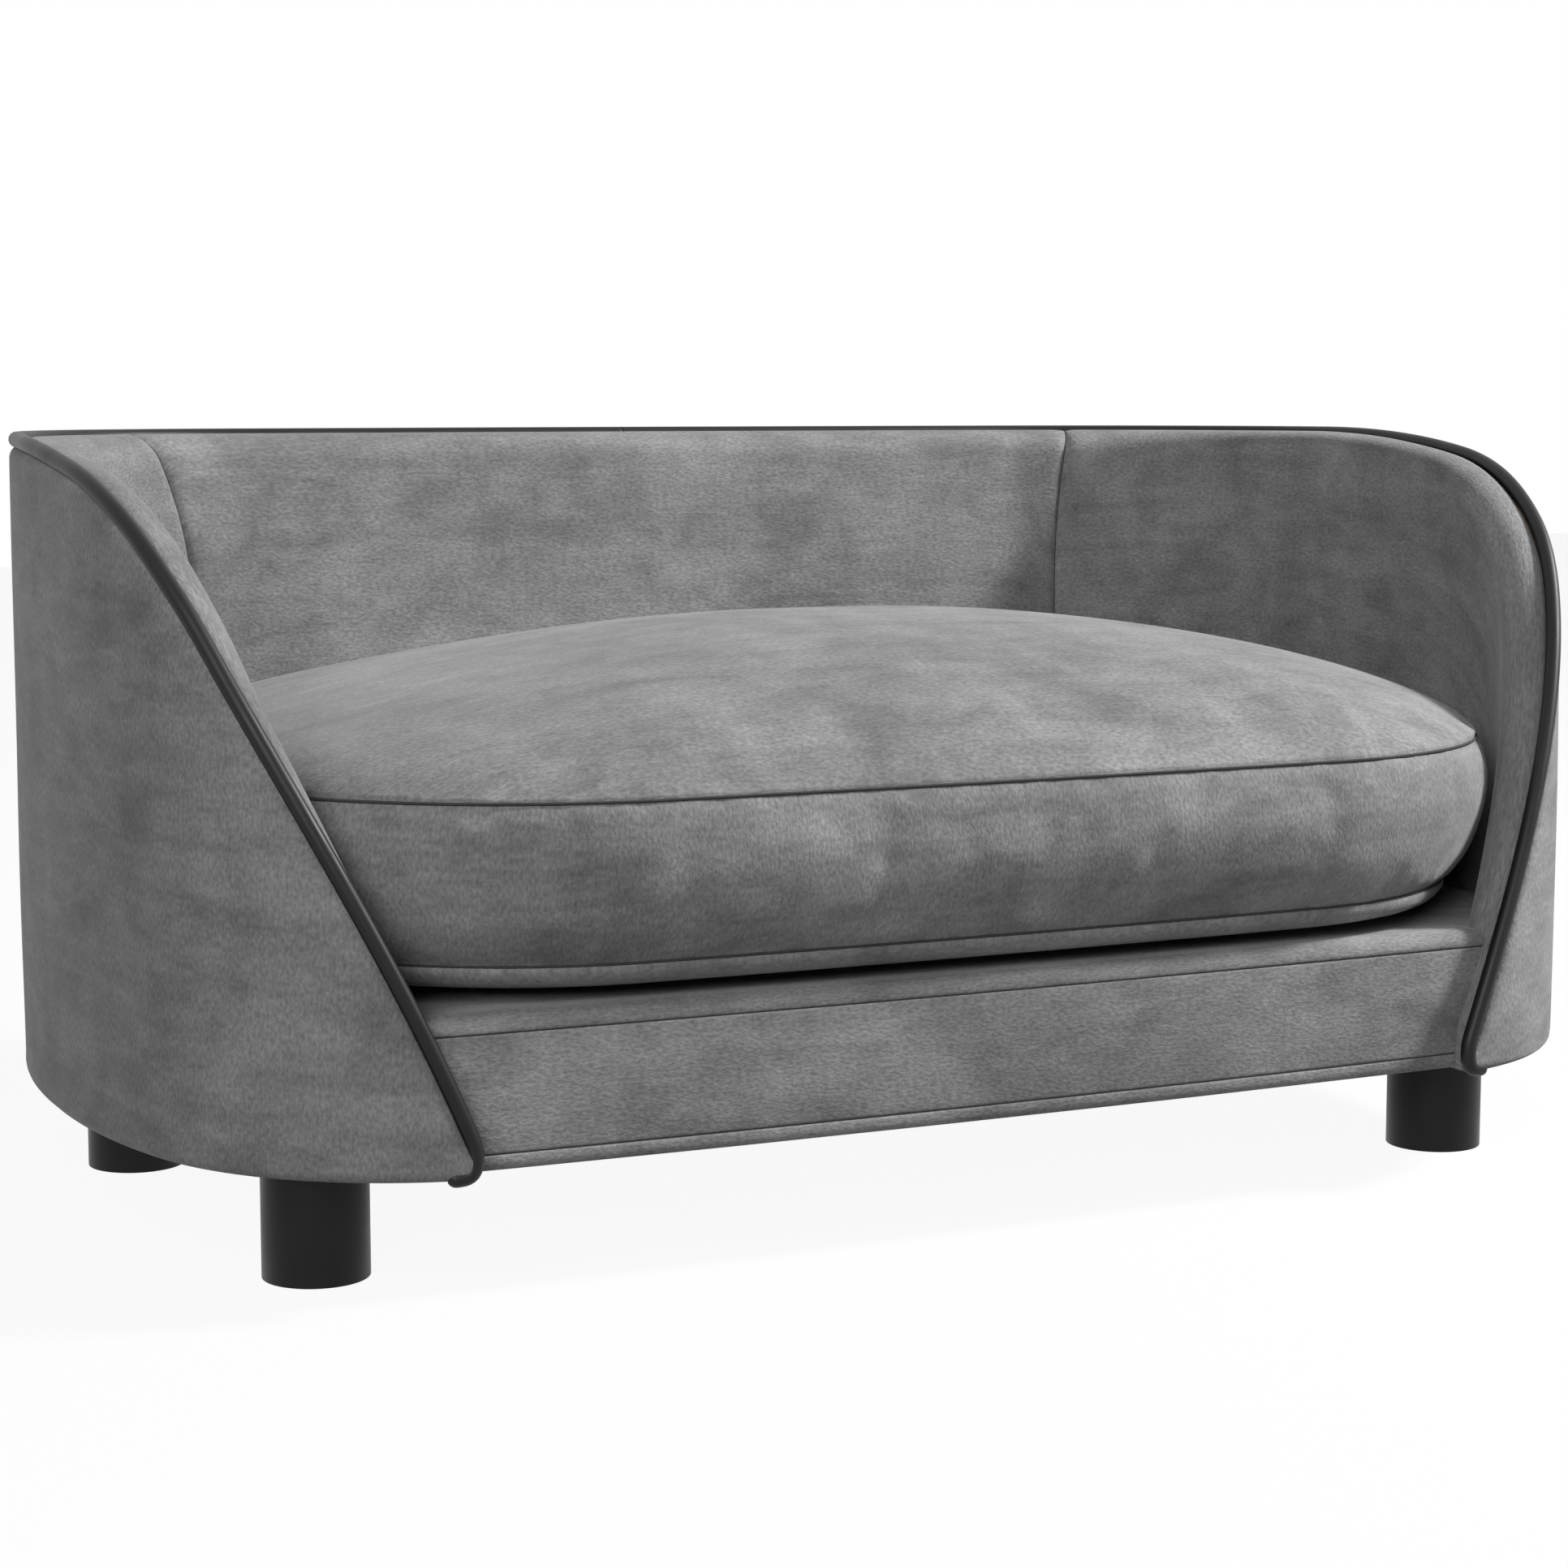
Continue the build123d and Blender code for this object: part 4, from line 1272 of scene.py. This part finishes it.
    def make_seams(self) -> None:
        """Thread lines in the two seams of the rail, which also close them and are dark as painted
        shade in the seams.
        """
        span = self.end_reach + 0.4
        lines = [[(x, self.bow(x) + self.seam_depth + 0.1, level)
                  for x in steps(-span, span, 6)] for level in (self.low_seam, self.top_seam)]
        threads = [make_tube(f"rail_seam_{k}", line, self.thread_radius, closed=False)
                   for k, line in enumerate(lines)]
        hand_over(join_pieces(threads, "rail_seam_shade_thread"), "frame", SeamShadeThread())

    def make_dust_cloth(self) -> None:
        """Black cloth stapled under the base, sagging a little between its edges."""
        share = self.dust_cloth_share
        outline = [(x * share, max(y * share, self.bow(x) + self.hem + 0.5)) for x, y, _, _ in
                   self.outline(self.under_reach, self.under_run, self.under_pitch)]
        outline.append(outline[0])
        points, spans = [], []
        for k in range(25):
            share = 1 - k / 24
            row = []
            for x, y in outline:
                place = (x * share, y * share)
                sag = 1.1 * (1 - share * share) + 0.35 * drift((*place, 0.0), 70, 1.0)
                row.append((*place, self.bottom + 0.95 - sag * smooth(1, 0.9, share)))
            points.append(row)
            spans.append([(x, y) for x, y, _ in row])
        cloth = lay_cloth("dust_cloth", points, spans, closed=True)
        edit_all(cloth, bpy.ops.mesh.flip_normals)
        hand_over(cloth, "frame", DUST_CLOTH, "dust_cover")

    def make_staples(self) -> None:
        """Wire staples along the edge of the dust cloth."""
        bpy.ops.object.select_all(action="DESELECT")
        bpy.ops.mesh.primitive_cube_add(size=1)
        first = bpy.context.object
        first.scale = [side * MM for side in self.staple_size]
        bpy.ops.object.transform_apply(location=False, rotation=False, scale=True)
        finish_modifier(first, "BEVEL", width=self.staple_bevel * MM, segments=1)
        outline = [(x * self.staple_share, y * self.staple_share) for x, y, _, _ in
                   self.outline(self.under_reach, self.under_run, self.pitch)]
        placed = []
        walked, before = 0.0, Vector(outline[0])
        for x, y in outline[1:]:
            here = Vector((x, y))
            walked += (here - before).length
            if walked > self.staple_pitch and y > self.bow(x) + self.hem:
                copy = first.copy()
                copy.data = first.data.copy()
                bpy.context.scene.collection.objects.link(copy)
                way = (here - before).normalized()
                copy.location = (x * MM, y * MM, (self.bottom + 0.35) * MM)
                copy.rotation_euler = (0, 0, math.atan2(way.y, way.x))
                placed.append(copy)
                walked = 0.0
            before = here
        bpy.data.objects.remove(first)
        staples = join_pieces(placed, "dust_cloth_staples")
        only(staples)
        bpy.ops.object.transform_apply(location=True, rotation=True, scale=True)
        hand_over(staples, "frame", ZINC)

    def make(self) -> None:
        """Build the box's velvet and its underside."""
        self.make_rail()
        self.make_deck()
        self.make_seams()
        self.make_dust_cloth()
        self.make_staples()


# ---------------------------------------------------------------------------------------------
# The cushion
# ---------------------------------------------------------------------------------------------


@dataclass
class LooseCushion:
    """Boxed velvet cover over a full filling, sewn at two seams, with a zip in its rear band."""

    inset: float = 36
    front_radius: float = 5000
    corner_radius: float = 175
    bottom: float = 121.6
    low_seam: float = 140
    top_seam: float = 211
    crown: float = 61.5
    dome_power: float = 0.74
    low_inset: float = 17
    top_inset: float = 2
    seam_dip: float = 3
    thread_radius: float = 0.7
    rings: int = 40
    zip_length: float = 300
    zip_height: float = 18
    zip_level: float = 172
    zip_depth: float = 12
    settle_left: float = 6.0
    settle_right: float = 2.5
    pressure: float = 3
    slack: float = -0.008
    most_move: float = 2.2
    filling_gap: float = 3.5
    frames: int = 20
    cloth_mass: float = 0.25
    stiffness: float = 18
    shear_stiffness: float = 6
    bending_stiffness: float = 0.4
    arc_parts: int = 48
    thread_parts: int = 400

    def __post_init__(self) -> None:
        """Work out the outline's arcs and its rim."""
        front_centre = (0.0, LINE.side_y - LINE.front_reach + self.front_radius)
        side_radius = LINE.front_side_radius - self.inset
        corner_centre = WallLine.crossing(
            front_centre, self.front_radius - self.corner_radius,
            LINE.front_side_centre, side_radius - self.corner_radius,
        )
        self.back_y = LINE.side_y + LINE.rear_reach - self.inset
        self.middle = (LINE.side_y - LINE.front_reach + self.back_y) / 2
        facing = [math.degrees(math.atan2(corner_centre[1] - c[1], corner_centre[0] - c[0]))
                  for c in (front_centre, LINE.front_side_centre)]
        back = 90 - LINE.back_turn
        arcs = (
            (front_centre, self.front_radius, -90, facing[0]),
            (corner_centre, self.corner_radius, facing[0], facing[1]),
            (LINE.front_side_centre, side_radius, facing[1], 0),
            (LINE.rear_side_centre, LINE.rear_side_radius - self.inset, 0, LINE.rear_side_turn),
            (LINE.rear_corner_centre, LINE.rear_corner_radius - self.inset,
             LINE.rear_side_turn, back),
            (LINE.back_centre, LINE.back_radius - self.inset, back, 90),
        )
        half = [(*polar(centre, radius, angle), angle) for centre, radius, first, last in arcs
                for angle in steps(first, last, (last - first) / self.arc_parts)[:-1]]
        half.append((0.0, self.back_y, 90.0))
        whole = half + [(-x, y, 180 - angle) for x, y, angle in reversed(half[:-1])]
        self.rim = [(0.0, *whole[0])]
        for last, here in zip(whole, whole[1:]):
            self.rim.append((self.rim[-1][0] + math.dist(last[:2], here[:2]), *here))

    def place(self, share: float, inset: float, scale: float) -> tuple[float, float, float]:
        """Find a point of the cushion in plan.

        Args:
            share: How far round it is, from the middle of the front anticlockwise, from 0 to 1.
            inset: How far it is drawn in from the widest outline.
            scale: Scale about the cushion's middle, after that.

        Returns:
            Its x and y, and how far round it is in millimetres.
        """
        walked = share * self.rim[-1][0]
        at = min(bisect.bisect_right(self.rim, walked, key=lambda mark: mark[0]),
                 len(self.rim) - 1)
        low, high = self.rim[at - 1], self.rim[at]
        part = (walked - low[0]) / (high[0] - low[0])
        x, y, angle = (low[i] + (high[i] - low[i]) * part for i in (1, 2, 3))
        turn = math.radians(angle)
        x, y = x - inset * math.cos(turn), y - inset * math.sin(turn)
        return x * scale, self.middle + (y - self.middle) * scale, walked

    def crown_rings(self) -> list[tuple[float, float, float]]:
        """Inset, scale and height of the top panel's rings, from its middle to the seam."""
        outer = [1.0, 0.9945, 0.985, 0.972, 0.955, 0.934, 0.908]
        inner = [outer[-1] * k / (self.rings - 7) for k in range(self.rings - 7)]
        scales = inner + list(reversed(outer))
        rings = [(self.top_inset, scale,
                  self.top_seam + self.crown * (1 - scale**2) ** self.dome_power)
                 for scale in scales]
        rings[-1] = (self.top_inset + 0.7, 1.0, self.top_seam + 1.5)
        return rings + [(self.top_inset + self.seam_dip, 1.0, self.top_seam)]

    def under_rings(self) -> list[tuple[float, float, float]]:
        """Inset, scale and height of the bottom panel's rings, from its middle to the seam."""
        low, first = self.low_seam, self.low_inset
        outer = [(first + self.seam_dip, low), (first + 0.6, low - 1.5), (first + 1.6, low - 4),
                 (first + 4, low - 7.4), (first + 8, low - 10), (first + 15, low - 11.4),
                 (first + 28, low - 13), (first + 46, low - 15.4), (first + 68, self.bottom)]
        count = self.rings + 1 - len(outer)
        inner = [(outer[-1][0], k / count, self.bottom) for k in range(count)]
        return inner + [(inset, 1.0, level) for inset, level in reversed(outer)]

    def band_rows(self) -> list[tuple[float, float]]:
        """Inset and height of the band's rows, from the lower seam to the upper one."""
        low, top = self.low_seam, self.top_seam
        rows = [(self.low_inset + self.seam_dip, low), (self.low_inset + 0.6, low + 1.5)]
        for level in (144, 148, 153, 158, 162, 165, 169, 175, 179, 182, 186, 191, 196, 201, 206):
            share = (level - low) / (top - low)
            reach = self.low_inset + (self.top_inset - self.low_inset) * share
            rows.append((reach - 8.5 * math.sin(math.pi * share) ** 0.75, level))
        return rows + [(self.top_inset + 0.7, top - 1.5), (self.top_inset + self.seam_dip, top)]

    def recess(self, place: Place) -> Place:
        """Sink a point of the band where the zip lies.

        Args:
            place: The point.

        Returns:
            The point, moved inwards where the zip is.
        """
        x, y, z = place
        if y < self.middle:
            return place
        along = 1 - smooth(self.zip_length / 2 - 1, self.zip_length / 2 + 6, abs(x))
        across = 1 - smooth(self.zip_height / 2 - 2, self.zip_height / 2 + 4,
                            abs(z - self.zip_level))
        floor = self.back_y - self.zip_depth - 0.6
        return x, y + (min(y, floor) - y) * along * across, z

    def settle(self, x: float, scale: float) -> float:
        """How far the filling has shifted up or down at an x, from its middle to its rim."""
        shift = self.settle_right * smooth(20, 240, x) - self.settle_left * smooth(0, 220, -x)
        return shift * math.sqrt(max(0.0, 1 - scale**2))

    def make_panel(self, name: str, rings: Sequence[tuple[float, float, float]],
                   facing: int) -> bpy.types.Object:
        """Lay the top or bottom panel, whose rings close in on its middle without a pole.

        Args:
            name: Name of the panel.
            rings: Inset, scale and height of each ring from the middle out.
            facing: 1 for a panel that faces up, -1 for one that faces down.

        Returns:
            The panel.
        """
        count = self.rings
        points, spans = [], []
        for row in range(-count, count + 1):
            line, marks = [], []
            for column in range(-count, count + 1):
                column_at = column * facing
                ring = max(abs(row), abs(column))
                if row == -ring and column_at >= 0:
                    step = column_at
                elif column_at == ring:
                    step = 2 * ring + row
                elif row == ring:
                    step = 4 * ring - column_at
                elif column_at == -ring:
                    step = 6 * ring - row
                else:
                    step = 8 * ring + column_at
                inset, scale, level = rings[ring]
                x, y, _ = self.place(step / (8 * ring) if ring else 0.0, inset, scale)
                line.append((x, y, level + self.settle(x, scale) * (facing > 0)))
                marks.append((x, y))
            points.append(line)
            spans.append(marks)
        panel = lay_cloth(name, points, spans)
        dress(panel, LEVEL_VELVET)
        return panel

    def make_band(self) -> bpy.types.Object:
        """Lay the band between the seams, with the zip's recess at the back."""
        columns = 8 * self.rings
        points, spans = [], []
        for inset, level in self.band_rows():
            line, marks = [], []
            for column in range(columns + 1):
                x, y, walked = self.place(column / columns, inset, 1.0)
                line.append(self.recess((x, y, level)))
                marks.append((walked, level))
            points.append(line)
            spans.append(marks)
        band = lay_cloth("cushion_band_cloth", points, spans)
        dress(band, UPRIGHT_VELVET)
        return band

    def inflate(self, cover: bpy.types.Object) -> None:
        """Let the filling press the cover out between its seams, by cloth simulation.

        Args:
            cover: The closed cover.
        """
        mesh = cover.data
        held = cover.vertex_groups.new(name="sewn")
        before = [vertex.co.copy() for vertex in mesh.vertices]
        sewn = []
        for vertex in mesh.vertices:
            x, y, z = (value / MM for value in vertex.co)
            seam = min(abs(z - self.low_seam), abs(z - self.top_seam)) < 0.2
            zipped = (y > self.back_y - 30 and abs(x) < self.zip_length / 2 + 12
                      and abs(z - self.zip_level) < 16)
            if seam or zipped or z < self.low_seam:
                sewn.append(vertex.index)
        held.add(sewn, 1.0, "REPLACE")
        only(cover)
        cloth = cover.modifiers.new("Cloth", "CLOTH")
        settings = cloth.settings
        settings.quality = 4
        settings.mass = self.cloth_mass
        settings.tension_stiffness = settings.compression_stiffness = self.stiffness
        settings.shear_stiffness = self.shear_stiffness
        settings.bending_stiffness = self.bending_stiffness
        settings.vertex_group_mass = held.name
        settings.use_pressure = True
        settings.uniform_pressure_force = self.pressure
        settings.shrink_min = self.slack
        settings.effector_weights.gravity = 0
        cloth.collision_settings.use_collision = False
        cloth.point_cache.frame_end = self.frames
        for frame in range(1, self.frames + 1):
            bpy.context.scene.frame_set(frame)
        bpy.ops.object.modifier_apply(modifier=cloth.name)
        most = self.most_move * MM
        moved = 0.0
        for vertex, start in zip(mesh.vertices, before):
            move = vertex.co - start
            moved = max(moved, move.length)
            if move.length > most:
                vertex.co = start + move * (most / move.length)
        bpy.context.scene.frame_set(1)
        log.info("cushion cloth moved %.1f mm at most", moved / MM)

    def make(self) -> None:
        """Sew the three panels, inflate them, fill them, and lay dark threads in the seams as painted
        shade.
        """
        pieces = [
            self.make_panel("cushion_crown", self.crown_rings(), 1),
            self.make_band(),
            self.make_panel("cushion_underside", self.under_rings(), -1),
        ]
        cover = join_pieces(pieces, "cushion_cover")
        edit_all(cover, bpy.ops.mesh.remove_doubles, threshold=0.02 * MM)
        turn_out(cover)
        self.inflate(cover)
        only(cover)
        bpy.ops.object.duplicate()
        filling = bpy.context.object
        filling.name = "cushion_filling"
        finish_modifier(filling, "DISPLACE", strength=-self.filling_gap * MM, mid_level=0)
        dress(filling, FIBRE)
        hand_over(filling, "cushion", FIBRE, "cushion_core")
        finish_modifier(cover, "SUBSURF", levels=1, render_levels=1)
        only(cover)
        bpy.ops.object.shade_smooth()
        hand_over(cover, "cushion", LEVEL_VELVET, "cushion_top_panel", "cushion_band",
                  "cushion_bottom_panel")
        threads = []
        for name, inset, level in (("upper", self.top_inset, self.top_seam),
                                   ("lower", self.low_inset, self.low_seam)):
            depth = inset + self.seam_dip - 0.9
            line = [(*self.place(k / self.thread_parts, depth, 1.0)[:2], level)
                    for k in range(self.thread_parts)]
            threads.append(make_tube(f"{name}_seam", line, self.thread_radius, closed=True))
        hand_over(join_pieces(threads, "cushion_seam_shade_thread"), "cushion", SeamShadeThread())


# ---------------------------------------------------------------------------------------------
# Legs
# ---------------------------------------------------------------------------------------------


@dataclass
class RoundLegs:
    """Four straight round legs with a chamfered foot and a glide let into it."""

    radius: float = 23.6
    height: float = 56.9
    chamfer: float = 1.8
    glide_radius: float = 17
    glide_depth: float = 0.8
    front_inset: float = 83
    rear_inset: float = 67
    front_reach: float = 127
    rear_reach: float = 115.5

    def make(self) -> None:
        """Turn one leg, then place a copy at each corner."""
        for side in Side:
            for end, inset, reach in (("front", self.front_inset, -self.front_reach),
                                      ("rear", self.rear_inset, self.rear_reach)):
                x = side.value * (LINE.half_width - inset)
                y = LINE.side_y + reach
                name = f"{end}_{side.name.lower()}"
                bpy.ops.object.select_all(action="DESELECT")
                bpy.ops.mesh.primitive_cylinder_add(
                    vertices=96, radius=self.radius * MM, depth=self.height * MM,
                    location=(x * MM, y * MM, self.height / 2 * MM), end_fill_type="NGON",
                )
                leg = bpy.context.object
                leg.name = f"{name}_leg"
                bpy.ops.object.transform_apply(location=True, rotation=True, scale=True)
                self.shape_foot(leg)
                hand_over(leg, "frame", LEG_PLASTIC, f"leg_{name}")

    def shape_foot(self, leg: bpy.types.Object) -> None:
        """Bevel both ends and sink the glide's rim into the foot.

        Args:
            leg: The plain turned leg.
        """
        only(leg)
        bpy.ops.object.mode_set(mode="EDIT")
        bpy.ops.mesh.select_mode(type="FACE")
        bpy.ops.mesh.select_all(action="DESELECT")
        bpy.ops.object.mode_set(mode="OBJECT")
        for face in leg.data.polygons:
            face.select = face.normal.z < -0.9
        bpy.ops.object.mode_set(mode="EDIT")
        bpy.ops.mesh.inset(thickness=(self.radius - self.glide_radius) * MM)
        bpy.ops.mesh.inset(thickness=0.3 * MM, depth=-self.glide_depth * MM)
        bpy.ops.mesh.inset(thickness=0.4 * MM, depth=self.glide_depth * 0.8 * MM)
        bpy.ops.object.mode_set(mode="OBJECT")
        finish_modifier(leg, "BEVEL", width=self.chamfer * MM, segments=3, limit_method="ANGLE",
                        angle_limit=math.radians(60))
        only(leg)
        bpy.ops.object.shade_smooth_by_angle(angle=math.radians(35))


# ---------------------------------------------------------------------------------------------
# Inside pieces, which keep their CAD shape, and the studio
# ---------------------------------------------------------------------------------------------


HIDDEN_FINISHES: dict[str, Finish] = {
    "wall_board": BENT_PLY, "base_board": FLAT_PLY, "front_rail": PINE, "deck_battens": PINE,
    "deck_board": FLAT_PLY, "deck_pad": FIBRE, "leg_bolts": ZINC, "leg_tee_nuts": ZINC,
    "zip_tape": ZIP_CLOTH, "zip_teeth": ZIP_NYLON, "zip_slider": SLIDER_ENAMEL,
}


@dataclass
class Studio:
    """Pale floor, soft lights and the camera at the photograph's place."""

    camera_place: Place = (-0.7156, -1.47374, 0.37781)
    yaw: float = 0.447
    pitch: float = 0.116
    lens: float = 75.22
    shift: Flat = (0.0021, -0.0017)
    key_power: float = 127.0
    key_size: float = 0.45
    key_place: Place = (2.288, -0.843, 1.926)
    fill_power: float = 47.0
    fill_size: float = 1.5
    fill_place: Place = (-1.8, -2.04, 1.44)
    ambient: float = 0.03
    lamp_aim: Place = (0, 0, 0.18)
    floor_size: float = 12
    floor_glow: float = 0.93
    floor_paint: Flat = (0.22, 0.8)
    sensor_width: float = 36

    def make_floor(self) -> None:
        """A pale floor that shows white to the camera and keeps a soft shadow."""
        bpy.ops.object.select_all(action="DESELECT")
        bpy.ops.mesh.primitive_plane_add(size=self.floor_size)
        floor = bpy.context.object
        floor.name = "studio_floor"
        bench = NodeBench(bpy.data.materials.new("painted studio floor"))
        seen = bench.seen()
        share = bench.add(
            "ShaderNodeMath", {0: seen, 1: self.floor_glow}, operation="MULTIPLY"
        ).outputs["Value"]
        # Darker paint for bounced light, so that the floor doesn't fill the shadows on the rail
        shade = bench.add(
            "ShaderNodeMapRange",
            {"Value": seen, "To Min": self.floor_paint[0], "To Max": self.floor_paint[1]},
        ).outputs["Result"]
        paint = bench.add("ShaderNodeBsdfDiffuse", {"Color": shade}).outputs["BSDF"]
        glow = bench.add("ShaderNodeEmission", {"Color": tone("#ffffff"), "Strength": 1.0})
        mixed = bench.add("ShaderNodeMixShader", {0: share, 1: paint, 2: glow.outputs[0]})
        bench.add("ShaderNodeOutputMaterial", {"Surface": mixed.outputs[0]})
        floor.data.materials.append(bench.owner)

    def make_world(self) -> None:
        """Even light from all round, which the camera sees as white."""
        world = bpy.data.worlds.new("studio air")
        bpy.context.scene.world = world
        bench = NodeBench(world)
        strength = bench.add(
            "ShaderNodeMapRange", {"Value": bench.seen(), "To Min": self.ambient, "To Max": 1.0}
        ).outputs["Result"]
        air = bench.add("ShaderNodeBackground", {"Color": tone("#ffffff"), "Strength": strength})
        bench.add("ShaderNodeOutputWorld", {"Surface": air.outputs[0]})

    def make_lamp(self, name: str, place: Place, power: float, size: float) -> None:
        """Hang a square soft lamp that faces the sofa.

        Args:
            name: Its name.
            place: Where it hangs, in metres.
            power: Watts.
            size: Side in metres.
        """
        lamp = bpy.data.lights.new(name, "AREA")
        lamp.energy = power
        lamp.size = size
        holder = bpy.data.objects.new(name, lamp)
        bpy.context.scene.collection.objects.link(holder)
        holder.location = place
        aim = Vector(self.lamp_aim) - Vector(place)
        holder.rotation_euler = aim.to_track_quat("-Z", "Y").to_euler()

    def make_camera(self) -> None:
        """Set the camera where the photograph was taken from."""
        lens = bpy.data.cameras.new("studio_camera")
        lens.lens = self.lens
        lens.sensor_width = self.sensor_width
        lens.shift_x, lens.shift_y = self.shift
        camera = bpy.data.objects.new("studio_camera", lens)
        bpy.context.scene.collection.objects.link(camera)
        camera.location = self.camera_place
        camera.rotation_euler = (math.pi / 2 - self.pitch, 0, -self.yaw)
        bpy.context.scene.camera = camera

    def make(self) -> None:
        """Build the studio."""
        self.make_floor()
        self.make_world()
        self.make_lamp("key_lamp", self.key_place, self.key_power, self.key_size)
        self.make_lamp("fill_lamp", self.fill_place, self.fill_power, self.fill_size)
        self.make_camera()
        bpy.context.scene.view_settings.view_transform = "Standard"


def main() -> None:
    """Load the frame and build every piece."""
    logging.basicConfig(level=logging.INFO, format="%(name)s: %(message)s")
    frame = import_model()
    Studio().make()
    PaddedWall().make()
    LowBox().make()
    LooseCushion().make()
    RoundLegs().make()
    for node, finish in HIDDEN_FINISHES.items():
        dress(frame["nodes"][node], finish)
    bpy.ops.object.select_all(action="DESELECT")


if __name__ == "__main__":
    main()
